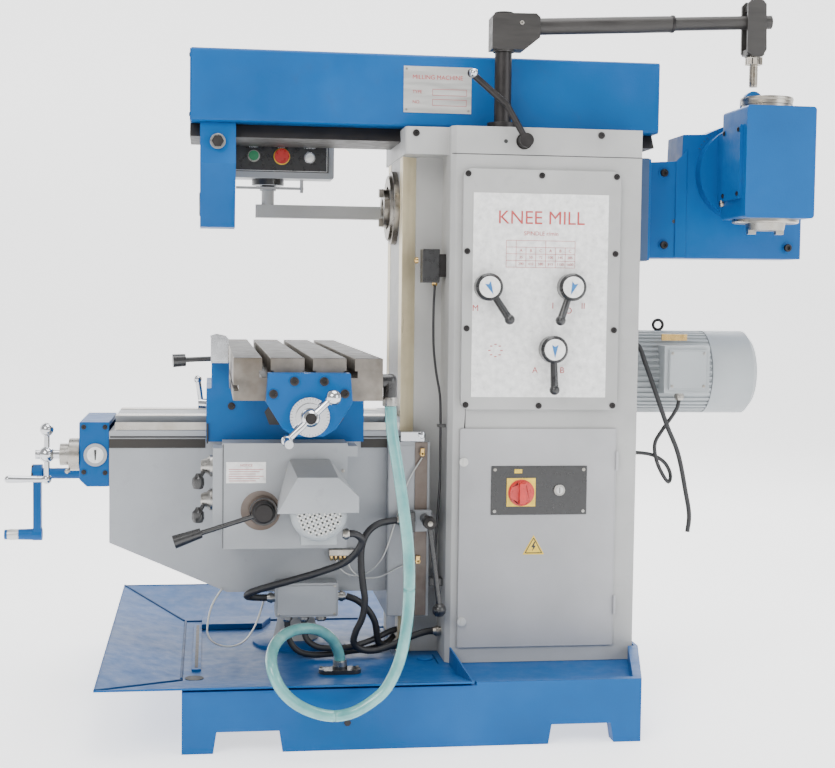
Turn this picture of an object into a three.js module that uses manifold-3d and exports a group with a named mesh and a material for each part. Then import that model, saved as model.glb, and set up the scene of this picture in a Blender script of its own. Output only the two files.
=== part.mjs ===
// Combined horizontal and vertical knee-type milling machine, vertical head parked at the rear.
// Machine frame: x = 0 at the column's way face, +X to the rear, y = 0 on the centre plane, z = 0 floor.
import * as THREE from 'three';
import { mergeVertices } from 'three/addons/utils/BufferGeometryUtils.js';
import Module from 'manifold-3d';

const wasm = await Module();
wasm.setup();
const { Manifold, Mesh: WasmMesh } = wasm;

// ---- driving dimensions, mm ----
const SHIFT_X = -33;          // puts the middle of the whole machine on the origin
const G = 0.3;                // gap between touching pieces
const TABLE_W = 320;
const TABLE_L = 1300;
const TABLE_X = -262.5;       // table centre line
const TABLE_TOP = 876;
const TABLE_BOT = 785;
const SLOT_PITCH = 90;
const SPINDLE_Z = 1237;
const COL_TOP = 1425;
const COL_Y = 250;            // half width of the column body
const COL_X0 = 105;
const COL_X1 = 580;
const DECK = 108;             // top of the base deck
const ARM_Z0 = 1431;
const ARM_Z1 = 1609;
const KNEE_Y = 150;
const KNEE_TOP = 710;
const HEAD_X = 900;           // vertical spindle line
const HEAD_Y = -250;
const TILT_X = 895;
const TILT_Z = 1339;
const JIB_X = 240;
const JIB_Y = -190;
const SCREW_X = -247;
const CROSS = [-115, 614];    // cross-feed shaft: y, z
const ELEV = [130, 538];      // elevating shaft: y, z
const TRACK_Z = 754;          // table screw height
const N = 24;

// ---- small helpers ----
function toSolid(geometry) {
  const g = geometry.clone();
  g.deleteAttribute('normal');
  g.deleteAttribute('uv');
  const m = mergeVertices(g, 1e-4);
  return new Manifold(new WasmMesh({
    numProp: 3,
    vertProperties: Float32Array.from(m.attributes.position.array),
    triVerts: Uint32Array.from(m.index.array),
  }));
}

function box(x0, x1, y0, y1, z0, z1) {
  const g = new THREE.BoxGeometry(x1 - x0, y1 - y0, z1 - z0);
  g.translate((x0 + x1) / 2, (y0 + y1) / 2, (z0 + z1) / 2);
  return toSolid(g);
}

// Round bar or cone between two heights along an axis, with its centre in the other two coordinates.
function bar(axis, a, b, c1, c2, r0, r1 = r0, n = N) {
  const g = new THREE.CylinderGeometry(r1, r0, b - a, n);
  if (axis === 'x') {
    g.rotateZ(-Math.PI / 2);
    g.translate((a + b) / 2, c1, c2);
  } else if (axis === 'y') {
    g.translate(c1, (a + b) / 2, c2);
  } else {
    g.rotateX(Math.PI / 2);
    g.translate(c1, c2, (a + b) / 2);
  }
  return toSolid(g);
}

function ball(x, y, z, r, n = 12) {
  const g = new THREE.SphereGeometry(r, n, Math.round(n * 0.6));
  g.translate(x, y, z);
  return toSolid(g);
}

// Straight rod between two points.
function rod(p, q, r0, r1 = r0, n = 12) {
  const a = new THREE.Vector3(...p);
  const b = new THREE.Vector3(...q);
  const d = b.clone().sub(a);
  const g = new THREE.CylinderGeometry(r1, r0, d.length(), n);
  const turn = new THREE.Quaternion().setFromUnitVectors(new THREE.Vector3(0, 1, 0), d.clone().normalize());
  g.applyQuaternion(turn);
  const mid = a.add(b).multiplyScalar(0.5);
  g.translate(mid.x, mid.y, mid.z);
  return toSolid(g);
}

function outline(points) {
  const s = new THREE.Shape();
  points.forEach(([u, v], i) => (i ? s.lineTo(u, v) : s.moveTo(u, v)));
  s.closePath();
  return s;
}

function roundRect(u0, u1, v0, v1, r) {
  const s = new THREE.Shape();
  s.moveTo(u0 + r, v0);
  s.lineTo(u1 - r, v0);
  s.absarc(u1 - r, v0 + r, r, -Math.PI / 2, 0, false);
  s.lineTo(u1, v1 - r);
  s.absarc(u1 - r, v1 - r, r, 0, Math.PI / 2, false);
  s.lineTo(u0 + r, v1);
  s.absarc(u0 + r, v1 - r, r, Math.PI / 2, Math.PI, false);
  s.lineTo(u0, v0 + r);
  s.absarc(u0 + r, v0 + r, r, Math.PI, Math.PI * 1.5, false);
  return s;
}

// Extrusion of an XZ outline from y0 to y1.
function slabY(shape, y0, y1, curve = 4) {
  const g = new THREE.ExtrudeGeometry(shape, { depth: y1 - y0, bevelEnabled: false, curveSegments: curve });
  g.rotateX(Math.PI / 2);
  g.translate(0, y1, 0);
  return toSolid(g);
}

// Extrusion of a YZ outline from x0 to x1.
function slabX(shape, x0, x1, curve = 4) {
  const g = new THREE.ExtrudeGeometry(shape, { depth: x1 - x0, bevelEnabled: false, curveSegments: curve });
  g.rotateX(Math.PI / 2);
  g.rotateZ(Math.PI / 2);
  g.translate(x0, 0, 0);
  return toSolid(g);
}

// Extrusion of an XY outline from z0 to z1.
function slabZ(shape, z0, z1, curve = 4) {
  const g = new THREE.ExtrudeGeometry(shape, { depth: z1 - z0, bevelEnabled: false, curveSegments: curve });
  g.translate(0, 0, z0);
  return toSolid(g);
}

const join = (...s) => Manifold.union(s);
const cut = (a, ...s) => Manifold.difference([a, ...s]);

// ---- paints and metals ----
const paint = {
  blue: [0x1f6fb8, 0.38, 0.05],
  warm: [0xc9c8bf, 0.45, 0.05],
  gray: [0x9aa0a2, 0.45, 0.05],
  navy: [0x1c2f4a, 0.45, 0.1],
  dark: [0x2c2b2a, 0.4, 0.8],
  steel: [0xa7a8a8, 0.32, 0.95],
  chrome: [0xd8dadc, 0.12, 1],
  black: [0x151515, 0.4, 0],
  iron: [0x4a4643, 0.42, 0.8],
  red: [0xb3141c, 0.35, 0],
  green: [0x1f8a45, 0.35, 0],
  motor: [0x8b9296, 0.5, 0.1],
  teal: [0x3f9f9b, 0.3, 0],
};

const root = new THREE.Group();
root.name = 'knee_milling_machine';

function add(name, solid, look) {
  const m = solid.getMesh();
  const g = new THREE.BufferGeometry();
  g.setAttribute('position', new THREE.BufferAttribute(new Float32Array(m.vertProperties), 3));
  g.setIndex(new THREE.BufferAttribute(new Uint32Array(m.triVerts), 1));
  addGeometry(name, g, look);
}

function addGeometry(name, g, look) {
  g.translate(SHIFT_X, 0, 0);
  g.computeVertexNormals();
  const [color, roughness, metalness] = paint[look];
  const mesh = new THREE.Mesh(g, new THREE.MeshStandardMaterial({ color, roughness, metalness }));
  mesh.name = name;
  root.add(mesh);
}

// ---- base, tray ----
function base() {
  const plan = outline([[-530, -577], [509, -577], [592, -262], [592, 262], [509, 577], [-530, 577]]);
  const inner = outline([[126, -555], [494, -555], [566, -262], [566, 262], [494, 555], [126, 555]]);
  let s = slabZ(plan, 0, 146);
  s = cut(s, slabZ(inner, DECK, 170));
  s = cut(s, box(-505, 100, -552, 552, 14, 170));
  s = cut(s, box(-540, 126, -590, 590, 139, 170), box(-540, -500, -551, 551, 103, 170));
  s = cut(s, box(90, 130, -262, 262, DECK, 170), box(95, 127, -553, 553, 103, 170), box(560, 583, -262, 262, DECK, 170));
  const ribs = join(box(-515, 110, -60, 60, 20, DECK - 4), box(-12, 127, -156, 156, 20, DECK), box(90, 127, -256, 256, 20, DECK));
  s = join(s, ribs);
  s = cut(s, slabZ(outline([[140, -535], [490, -535], [545, -262], [545, 262], [490, 535], [140, 535]]), -5, 85));
  const arch = (a, b, h) => slabY(outline([[a, -5], [b, -5], [b - 8, h], [a + 8, h]]), -600, 600);
  s = cut(s, arch(-462, -308, 48), arch(292, 446, 45));
  add('base', s, 'blue');
}

function tray() {
  const lip = outline([[-719, -590], [118, -590], [118, 590], [-719, 590]]);
  const t = 3;
  const ring = (z, o) => [[-719 + o * 184, -590 + o * 221, z], [118, -590 + o * 221, z],
    [118, 590 - o * 332, z], [-719 + o * 184, 590 - o * 332, z]];
  const hopper = (z1, z0) => {
    const p = [...ring(z1, 0), ...ring(z0, 1)];
    const g = new THREE.BufferGeometry();
    g.setAttribute('position', new THREE.BufferAttribute(new Float32Array(p.flat()), 3));
    g.setIndex([0, 1, 2, 0, 2, 3, 4, 6, 5, 4, 7, 6, 0, 4, 5, 0, 5, 1, 1, 5, 6, 1, 6, 2,
      2, 6, 7, 2, 7, 3, 3, 7, 4, 3, 4, 0]);
    return toSolid(g);
  };
  const outer = join(hopper(147, DECK - 3.4), slabZ(lip, 146.9, 151));
  const inner = join(hopper(147.1, DECK).translate([0, 0, t]), slabZ(lip, 147.05 + t, 160)
    .intersect(box(-716, 130, -587, 587, 100, 170)));
  let s = cut(outer, inner.intersect(box(-716, 114, -587, 587, DECK, 170)));
  s = cut(s, bar('z', 90, 125, SCREW_X, 0, 78));
  s = cut(s, box(-15, 130, -160, 160, 90, 170), box(85, 130, -262, 262, 90, 170));
  add('drip_tray', s, 'blue');
}

// ---- column ----
function column() {
  const way = outline([[0, -150], [37, -118], [COL_X0 + 2, -118], [COL_X0 + 2, 118], [37, 118], [0, 150]]);
  const body = outline([[COL_X0, -238], [COL_X0 + 12, -COL_Y], [COL_X1, -COL_Y], [COL_X1, COL_Y],
    [COL_X0 + 12, COL_Y], [COL_X0, 238]]);
  const cap = roundRect(-2, 200, -205, 205, 10);
  let s = join(slabZ(way, DECK + G, 1360), slabZ(body, DECK + G, COL_TOP), slabZ(cap, 1358, COL_TOP));
  s = join(s, box(40, 110, 205, 249, 1180, 1217.7));
  const groove = outline([[-110.3, 1396.7], [110.3, 1396.7], [84.3, 1440], [-84.3, 1440]]);
  s = cut(s, slabX(groove, -20, 620));
  s = cut(s, box(127, 555, -228, 228, 735, 1374), box(60, 130, -92, 92, 735, 1340));
  s = cut(s, box(150, 508, -260, -200, 760, 1300));
  s = cut(s, box(130, 555, -226, 220, 135, 700), box(146, 518, -260, -200, 156, 680));
  s = cut(s, box(60, 133, -90, 90, 80, 690));
  s = cut(s, bar('x', -10, 80, 0, SPINDLE_Z, 60));
  s = cut(s, bar('x', 540, 600, 0, 820, 60));
  add('column', s, 'warm');
}

function gearCover() {
  add('gear_cover', slabY(roundRect(133, 525, 737, 1322, 22), -264, -COL_Y - G), 'warm');
  add('cabinet_door', slabY(roundRect(134, 528, 147.5, 690, 4), -256, -COL_Y - G - 0.4), 'warm');
  let tray = box(170, 510, 206, 214.7, 170, 670);
  tray = join(tray, box(200, 300, 150, 208, 560, 640), box(320, 400, 140, 208, 560, 640));
  tray = join(tray, box(200, 470, 196, 208, 480, 500), box(200, 440, 160, 208, 380, 450));
  tray = join(tray, box(230, 420, 100, 208, 200, 330));
  add('cabinet_backplate', tray, 'gray');
}

function speedLevers() {
  const lever = (name, x, z, tx, tz) => {
    let s = bar('y', -290, -264.3, x, z, 33);
    s = join(s, bar('y', -300, -289, x, z, 27));
    s = join(s, rod([x, -284, z], [tx, -296, tz], 8, 10));
    s = join(s, ball(tx, -296, tz, 13));
    add(name, s, 'black');
  };
  lever('speed_lever_front', 194, 1036, 245, 958);
  lever('speed_lever_rear', 400, 1038, 371, 957);
  lever('range_lever', 357, 886, 359, 788);
}

function doorParts() {
  add('main_switch_knob', join(bar('y', -268, -256.3, 288, 532, 30), box(280, 296, -282, -266, 506, 558)), 'red');
  const lock = (name, z) => {
    const s = join(bar('y', -261, -256.3, 144, z, 11), box(141.5, 146.5, -263, -260, z - 8, z + 8));
    add(name, s, 'dark');
  };
  lock('door_lock_upper', 608);
  lock('door_lock_lower', 213);
}

// ---- overarm ----
function overarm() {
  let s = slabX(roundRect(-140, 140, ARM_Z0, ARM_Z1, 9), -520, 654);
  s = cut(s, slabX(roundRect(-126, 126, ARM_Z0 + 14, ARM_Z1 - 14, 9), -490, 670));
  s = join(s, box(640, 654, -132, 132, ARM_Z0 + 8, ARM_Z1 - 8));
  s = cut(s, bar('x', 600, 700, 0, 1520, 55));
  add('overarm', s, 'blue');
  const rail = outline([[-110, 1397], [110, 1397], [86, ARM_Z0 - G], [-86, ARM_Z0 - G]]);
  add('overarm_dovetail', slabX(rail, -523, 652), 'iron');
}

function arborSupport() {
  const shell = outline([[-139, 1330], [-122, 1430.6], [122, 1430.6], [139, 1330], [88, 1250],
    [55, 1178], [-55, 1178], [-88, 1250]]);
  let s = slabX(shell, -498, -411);
  s = cut(s, slabX(outline([[-110.4, 1396.6], [110.4, 1396.6], [86.4, 1440], [-86.4, 1440]]), -520, -400));
  s = cut(s, bar('x', -520, -400, 0, SPINDLE_Z, 24, 24, 32));
  s = cut(s, bar('y', -150, -118, -455, 1383, 15, 15, 6));
  add('arbor_support', s, 'blue');
}

function overarmLever() {
  let s = bar('y', -285, -COL_Y - G, 283, 1391, 17);
  s = join(s, rod([283, -276, 1391], [234, -276, 1474], 8));
  s = join(s, rod([234, -276, 1474], [150, -276, 1544], 8), ball(234, -276, 1474, 8));
  s = join(s, ball(147, -276, 1547, 11));
  add('overarm_lever', s, 'dark');
}

// ---- spindle in the column ----
function spindle() {
  let ring = join(bar('x', -14, -G, 0, SPINDLE_Z, 94, 94, 48), bar('x', -22, -13, 0, SPINDLE_Z, 82, 88, 48));
  ring = cut(ring, bar('x', -30, 5, 0, SPINDLE_Z, 54.5, 54.5, 48));
  add('spindle_cap', ring, 'steel');
  let s = join(bar('x', -34, 20, 0, SPINDLE_Z, 50, 50, 48), bar('x', 19, 480, 0, SPINDLE_Z, 38));
  s = cut(s, bar('x', -40, 60, 0, SPINDLE_Z, 24, 12), bar('x', 40, 500, 0, SPINDLE_Z, 11));
  s = join(s, box(-43, -30, -8, 8, SPINDLE_Z + 27, SPINDLE_Z + 48));
  s = join(s, box(-43, -30, -8, 8, SPINDLE_Z - 48, SPINDLE_Z - 27));
  add('horizontal_spindle', s, 'steel');
}

// ---- pendant control on the far side ----
function pendant() {
  let arm = box(-352, 78, 213, 247, 1218, 1253);
  arm = join(arm, bar('z', 1218, 1262, 78, 228, 24), bar('z', 1252, 1290, -319, 230, 17));
  add('pendant_arm', arm, 'warm');
  let s = slabY(roundRect(-425, -145, 1321, 1424, 6), 175, 262);
  s = join(s, bar('z', 1304, 1322, -319, 230, 42), bar('z', 1290.3, 1305, -319, 230, 22));
  s = join(s, slabY(roundRect(-424, -158, 1334, 1416, 3), 172, 176));
  s = cut(s, bar('y', 171, 178, -359, 1378, 9.4), bar('y', 171, 178, -285, 1378, 9.4));
  add('pendant_box', s, 'gray');
  const push = (name, x, r, look) => {
    add(name, join(bar('y', 163, 171.7, x, 1378, 9), bar('y', 156, 164, x, 1378, r)), look);
  };
  push('start_button', -359, 13, 'green');
  push('stop_button', -285, 20, 'red');
}

// ---- hoist ----
function hoist() {
  add('hoist_post', join(bar('z', COL_TOP + G, 1440, JIB_X, JIB_Y, 38), bar('z', 1439, 1612, JIB_X, JIB_Y, 21)), 'dark');
  let jib = slabY(outline([[207, 1617], [288, 1617], [326, 1648], [326, 1697], [316, 1706], [214, 1704],
    [207, 1696]]), JIB_Y - 27, JIB_Y + 27);
  jib = join(jib, rod([300, JIB_Y, 1677], [671, JIB_Y, 1697.5], 20.5, 20.5, 24));
  jib = cut(jib, rod([340, JIB_Y, 1679.2], [700, JIB_Y, 1699.1], 17.6, 17.6, 24));
  jib = join(jib, bar('z', 1612.3, 1618, JIB_X, JIB_Y, 26));
  add('hoist_jib', jib, 'dark');
  let tube = rod([430, JIB_Y, 1684.2], [924, JIB_Y, 1711.4], 17, 17, 24);
  const plate = (y) => slabY(outline([[856, 1632], [872, 1622], [896, 1622], [906, 1640], [903, 1752],
    [894, 1762], [864, 1762], [855, 1752]]), y, y + 8);
  tube = join(tube, plate(JIB_Y - 25), plate(JIB_Y + 17), box(858, 902, JIB_Y - 20, JIB_Y + 20, 1626, 1640));
  tube = join(tube, box(862, 898, JIB_Y - 20, JIB_Y + 20, 1738, 1750));
  tube = join(tube, bar('y', JIB_Y - 24, JIB_Y + 24, 882, 1709, 9));
  tube = cut(tube, bar('z', 1610, 1650, 882, JIB_Y, 12.5));
  add('hoist_arm', tube, 'steel');
  let screw = join(bar('z', 1548, 1668, 882, JIB_Y, 10), bar('z', 1603, 1621.7, 882, JIB_Y, 22, 22, 6));
  add('hoist_screw', screw, 'steel');
}

// ---- vertical head parked behind the column ----
function headBracket() {
  const plate = outline([[634, 1118], [1066, 1121], [1066, 1232], [1027, 1339], [1012, 1400], [960, 1452],
    [895, 1470], [831, 1454], [800, 1440], [740, 1438], [738, 1370], [634, 1364]]);
  let s = join(slabY(plate, -75, 55), bar('y', -75, 55, TILT_X, TILT_Z, 131, 131, 48));
  s = cut(s, slabY(outline([[670, 1145], [1040, 1147], [1040, 1225], [1000, 1330], [960, 1400], [895, 1430],
    [830, 1400], [670, 1335]]), -50, 70));
  s = join(s, box(COL_X1 + G, 640, -130, 130, 1110, 1368));
  add('head_bracket', s, 'blue');
}

function head() {
  let s = slabY(roundRect(812, 988, 1213, 1484, 8), -345, -173);
  s = join(s, box(822, 968, -175, -110, 1245, 1433));
  s = join(s, bar('y', -112, -75.3, TILT_X, TILT_Z, 120, 120, 48));
  s = join(s, box(852, 910, -200, -180, 1480, 1516), bar('y', -200, -180, 881, 1514, 23, 23, 24));
  s = cut(s, bar('y', -220, -160, 881, 1514, 11, 11, 20));
  s = cut(s, bar('z', 1240, 1500, HEAD_X, HEAD_Y, 58), bar('z', 1200, 1250, HEAD_X, HEAD_Y, 52));
  s = join(s, slabX(roundRect(-320, -195, 1260, 1440, 5), 804, 813));
  add('vertical_head', s, 'blue');
  add('head_top_cap', join(bar('z', 1484.3, 1496, HEAD_X - 4, HEAD_Y, 60), bar('z', 1495, 1513, HEAD_X - 4, HEAD_Y, 64))
    .intersect(box(700, 1100, -400, -204.5, 1400, 1600)), 'steel');
  let q = join(bar('z', 1204, 1212.5, HEAD_X, HEAD_Y, 76, 80, 40), bar('z', 1186, 1205, HEAD_X, HEAD_Y, 46, 50, 40));
  q = join(q, bar('z', 1212, 1470, HEAD_X, HEAD_Y, 46));
  q = cut(q, bar('z', 1180, 1300, HEAD_X, HEAD_Y, 22.2, 14));
  q = join(q, box(HEAD_X - 46, HEAD_X - 26, HEAD_Y - 8, HEAD_Y + 8, 1176, 1190));
  q = join(q, box(HEAD_X + 26, HEAD_X + 46, HEAD_Y - 8, HEAD_Y + 8, 1176, 1190));
  add('vertical_spindle', q, 'steel');
}

// ---- main motor ----
function motor() {
  let s = join(bar('x', COL_X1 + G, 600, 0, 820, 125, 125, 40), bar('x', 598, 850, 0, 820, 104, 104, 40));
  s = join(s, box(680, 800, -150, -90, 771, 893), box(690, 790, -158, -148, 780, 884));
  s = cut(s, bar('x', 595, 846, 0, 820, 88), bar('x', 570, 600, 0, 820, 55));
  add('main_motor', s, 'motor');
  let cowl = join(bar('x', 824, 935, 0, 820, 109.5, 109.5, 40), bar('x', 934, 950, 0, 820, 109.5, 92, 40));
  cowl = cut(cowl, bar('x', 810, 851.5, 0, 820, 104.4, 104.4, 40), bar('x', 850, 936, 0, 820, 98, 98, 40));
  const vents = [];
  for (let i = -3; i <= 3; i += 1) {
    vents.push(box(930, 960, -60, 60, 820 + i * 20 - 4, 820 + i * 20 + 4));
  }
  cowl = cut(cowl, ...vents);
  add('motor_cowl', cowl, 'motor');
}

// ---- knee ----
function knee() {
  const side = outline([[-714, 674], [-714, 400], [-427, 274], [-30, 272], [-30, 659], [-30, 676]]);
  let s = slabY(side, -KNEE_Y, KNEE_Y);
  s = join(s, slabX(outline([[-150, 640], [-150, 676], [-108, 676], [-132, KNEE_TOP], [132, KNEE_TOP], [108, 676],
    [150, 676], [150, 640]]), -700, -30));
  s = join(s, box(-32, 72, -176, 176, 212, 650), box(-32, -1, -150, 150, 272, KNEE_TOP));
  s = cut(s, slabZ(outline([[-0.5, -150.6], [37, -118.7], [80, -118.7], [80, 118.7], [37, 118.7],
    [-0.5, 150.6]]), 200, 720));
  s = cut(s, box(-690, -52, -132, 132, 200, 648));
  s = join(s, bar('z', 562, 652, SCREW_X, 0, 45), box(31, 75, -196, -175, 428, 480));
  add('knee', s, 'gray');
  let plate = slabY(outline([[-786, 696], [-714.3, 696], [-714.3, 538], [-768, 538], [-786, 556]]), -148, 148);
  plate = cut(plate, bar('x', -800, -700, ELEV[0], ELEV[1], 36));
  plate = cut(plate, box(-772, -700, -136, 136, 582, 684));
  add('knee_front_cover', plate, 'blue');
  add('knee_clamp_lever', join(bar('y', -288, -196.3, 58, 462, 12), rod([58, -278, 462], [84, -278, 262], 6.5),
    ball(85, -278, 248, 18)), 'black');
}

function crossCrank() {
  const [y, z] = CROSS;
  let s = bar('x', -893, -786.3, y, z, 11, 11, 20);
  s = join(s, ball(-866, y, z, 20, 16), rod([-866, y, z], [-866, y, z + 60], 7));
  s = join(s, ball(-866, y, z + 61, 17, 14), rod([-866, y, z], [-866, y, z - 60], 7), ball(-866, y, z - 61, 12));
  s = join(s, rod([-866, y, z - 61], [-958, y, z - 61], 7, 9.5), ball(-958, y, z - 61, 9.5, 14));
  add('cross_feed_crank', s, 'chrome');
  let dial = join(bar('x', -812, -786.3, y, z, 40), bar('x', -834, -811, y, z, 27));
  dial = cut(dial, bar('x', -840, -780, y, z, 11.3, 11.3, 20));
  add('cross_feed_dial', dial, 'steel');
}

function elevatingCrank() {
  const [y, z] = ELEV;
  let s = bar('x', -905, -714.3, y, z, 14, 14, 20);
  s = join(s, bar('x', -790, -714.3, y, z, 30), bar('x', -928, -903, y, z, 24));
  s = join(s, box(-926, -906, y - 14, y + 14, z - 164, z), bar('x', -928, -904, y, z - 160, 16));
  s = join(s, bar('x', -1000, -927, y, z - 160, 13, 15, 20));
  add('elevating_crank', s, 'blue');
  let screw = bar('z', 212, 561.5, SCREW_X, 0, 24);
  screw = cut(screw, bar('z', 200, 555, SCREW_X, 0, 17.2));
  add('elevating_screw', screw, 'steel');
  let p = join(bar('z', DECK - 3.5, 125, SCREW_X, 0, 74), bar('z', 124, 208, SCREW_X, 0, 60, 40));
  p = cut(p, bar('z', 130, 220, SCREW_X, 0, 27));
  p = join(p, bar('z', 110, 508, SCREW_X, 0, 16.5));
  add('screw_pedestal', p, 'warm');
}

function feedDrive() {
  let s = join(box(-464, -440, -326, -236, 470, 650), box(-442, -148, -330, -236, 412, 662));
  s = join(s, box(-442, -148, -236.5, -150.3, 412, 648), box(-150, -124, -330, -240, 630, 655));
  const guard = outline([[-300, 494], [-122, 498], [-122, 536], [-176, 582], [-190, 623], [-286, 623], [-257, 582],
    [-312, 524]]);
  s = join(s, slabY(guard, -345, -329));
  s = cut(s, box(-430, -165, -312, -165, 400, 636));
  add('feed_gearbox', s, 'warm');
  let m = join(bar('y', -430, -345.3, -222, 511, 66, 66, 36), bar('y', -440, -429, -222, 511, 54, 64, 36));
  m = join(m, box(-262, -180, -425, -350, 436, 470));
  m = cut(m, bar('y', -430, -350, -222, 511, 50, 50, 24));
  for (let i = -2; i <= 2; i += 1) {
    m = cut(m, box(-262, -182, -450, -425, 511 + i * 17 - 4, 511 + i * 17 + 4));
  }
  add('feed_motor', m, 'motor');
  const sel = (name, z) => {
    let k = bar('x', -486, -464.3, -292, z, 15, 15, 20);
    k = join(k, rod([-478, -292, z], [-496, -306, z - 30], 5), ball(-498, -308, z - 37, 14));
    add(name, k, 'black');
  };
  sel('feed_selector_upper', 605);
  sel('feed_selector_lower', 525);
  let d = join(bar('y', -352, -330.3, -346, 503, 33), bar('y', -380, -351, -346, 503, 24));
  d = join(d, rod([-346, -372, 503], [-495, -372, 456], 6), rod([-490, -372, 458], [-552, -372, 437], 12, 16));
  add('feed_direction_lever', d, 'black');
  add('junction_box', join(slabY(roundRect(-311, -156, 220, 304, 6), -205, -150.3), slabY(roundRect(-305, -162, 226,
    298, 4), -210, -204)), 'gray');
}

// ---- saddle and table ----
function saddle() {
  let s = box(-480, -100, -230, 230, 656, 784.7);
  s = join(s, slabY(outline([[-322, 784], [-203, 784], [-190, 811.7], [-335, 811.7]]), -230, 230));
  s = cut(s, slabX(outline([[-150.4, 640], [-150.4, 676.4], [-108.4, 676.4], [-132.4, 710.4], [132.4, 710.4],
    [108.4, 676.4], [150.4, 676.4], [150.4, 640]]), -500, -80));
  s = cut(s, bar('y', -240, 240, TABLE_X, TRACK_Z, 19, 19, 20));
  s = cut(s, box(-440, -140, -200, 200, 709, 731));
  s = join(s, box(-468, -426, -230, -186, 780, 849));
  add('saddle', s, 'blue');
  let t = join(bar('z', 849.3, 862, -446, -210, 12), rod([-446, -210, 856], [-540, -222, 852], 6));
  t = join(t, rod([-530, -221, 852], [-560, -225, 850], 15, 16));
  add('feed_trip_lever', t, 'black');
  let k = bar('x', -500, -480.3, -150, 742, 13, 13, 20);
  k = join(k, rod([-492, -150, 742], [-500, -150, 795], 6, 7), ball(-501, -150, 802, 10));
  add('table_lock_lever', k, 'chrome');
}

function table() {
  const x0 = TABLE_X - TABLE_W / 2;
  const x1 = TABLE_X + TABLE_W / 2;
  let s = box(x0, x1, -TABLE_L / 2, TABLE_L / 2, TABLE_BOT, TABLE_TOP);
  s = cut(s, slabY(outline([[-322.4, 780], [-202.6, 780], [-202.6, 784], [-189.4, 812.1], [-335.6, 812.1],
    [-322.4, 784]]), -700, 700));
  for (let i = -1; i <= 1; i += 1) {
    const c = TABLE_X + i * SLOT_PITCH;
    s = cut(s, box(c - 9, c + 9, -700, 700, 845, 890), box(c - 15, c + 15, -700, 700, 834, 849));
  }
  s = cut(s, box(x0 - 5, x0 + 12, -700, 700, 806, 818));
  s = cut(s, box(x0 + 14, x0 + 60, -620, 620, 770, 806), box(x1 - 60, x1 - 14, -620, 620, 770, 806));
  add('table', s, 'iron');
  const end = (name, side) => {
    const f = (v) => [v, 0];
    const shape = outline([[-354, 784], [-350, 846], [-176, 846], [-171, 784], [-206, 728], [-232, 712],
      [-293, 712], [-319, 728]]);
    let b = side < 0 ? slabY(shape, -690, -650.3) : slabY(shape, 650.3, 690);
    b = cut(b, bar('y', f(-720)[0], 720, TABLE_X, TRACK_Z, 15, 15, 20));
    add(name, b, 'blue');
  };
  end('table_bracket_near', -1);
  end('table_bracket_far', 1);
  add('table_screw', bar('y', -737, 737, TABLE_X, TRACK_Z, 12, 12, 16), 'steel');
  const crank = (name, s) => {
    const w = (a, b) => [Math.min(a * s, b * s), Math.max(a * s, b * s)];
    let c = join(bar('y', ...w(690.3, 702), TABLE_X, TRACK_Z, 42), bar('y', ...w(701, 713), TABLE_X, TRACK_Z, 30));
    c = join(c, ball(TABLE_X, 726 * s, TRACK_Z, 20, 16));
    c = join(c, rod([TABLE_X - 49, 730 * s, TRACK_Z - 47], [TABLE_X + 47, 730 * s, TRACK_Z + 45], 7));
    c = join(c, ball(TABLE_X + 47, 730 * s, TRACK_Z + 44, 17, 14), ball(TABLE_X - 49, 730 * s, TRACK_Z - 47, 13));
    c = join(c, bar('y', ...w(730, 812), TABLE_X - 49, TRACK_Z - 47, 9, 9, 16));
    c = cut(c, bar('y', -760, 760, TABLE_X, TRACK_Z, 12.3, 12.3, 16));
    add(name, c, 'chrome');
  };
  crank('table_crank_near', -1);
  crank('table_crank_far', 1);
}

// ---- coolant drain ----
const ROUTE = [[-81, -600, 788], [-76, -603, 718], [-62, -608, 631], [-49, -613, 543], [-39, -620, 456],
  [-37, -628, 369], [-44, -636, 282], [-61, -640, 206], [-90, -642, 151], [-122, -643, 124], [-162, -644, 103],
  [-199, -644, 97], [-242, -643, 105], [-286, -640, 127], [-318, -632, 159], [-335, -612, 198],
  [-331, -560, 225], [-306, -500, 242], [-264, -440, 244], [-219, -390, 229], [-182, -350, 196],
  [-164, -330, 158], [-161, -327, 131]];
const HOSE_R = 13;

function hosePart(name, first, last, steps, trimStart, trimEnd) {
  const whole = new THREE.CatmullRomCurve3(ROUTE.map((p) => new THREE.Vector3(...p)), false, 'centripetal');
  const ends = [first, last].map((i) => i / (ROUTE.length - 1));
  const pts = [];
  for (let i = 0; i <= 40; i += 1) {
    pts.push(whole.getPoint(ends[0] + (ends[1] - ends[0]) * (i / 40)));
  }
  const a = pts[0].clone().sub(pts[1]).normalize();
  const b = pts[40].clone().sub(pts[39]).normalize();
  pts[0].addScaledVector(a, -trimStart);
  pts[40].addScaledVector(b, -trimEnd);
  const path = new THREE.CatmullRomCurve3(pts, false, 'centripetal');
  const shape = new THREE.Shape();
  shape.absarc(0, 0, HOSE_R, 0, Math.PI * 2, false);
  const g = new THREE.ExtrudeGeometry(shape, { steps, curveSegments: 5, extrudePath: path, bevelEnabled: false });
  add(name, toSolid(g), 'teal');
}

function coolant() {
  let e = join(bar('x', -102.2, -80, -600, 826, 15, 15, 20), ball(-81, -600, 826, 16, 16));
  e = join(e, bar('z', 789, 826, -81, -600, 15.5, 15.5, 20));
  add('drain_elbow', e, 'black');
  hosePart('coolant_hose_upper', 0, 5, 16, 0.8, 0.6);
  hosePart('coolant_hose_middle', 5, 11, 16, 0.6, 0.8);
  hosePart('coolant_hose_lower', 11, 22, 26, 0.8, 0.6);
  const f = slabZ(roundRect(-212, -110, -350, -304, 22), DECK + 3.3, 121);
  add('drain_flange', join(f, bar('z', 120, 128.4, -161, -327, 18, 18, 20)), 'black');
}

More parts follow.
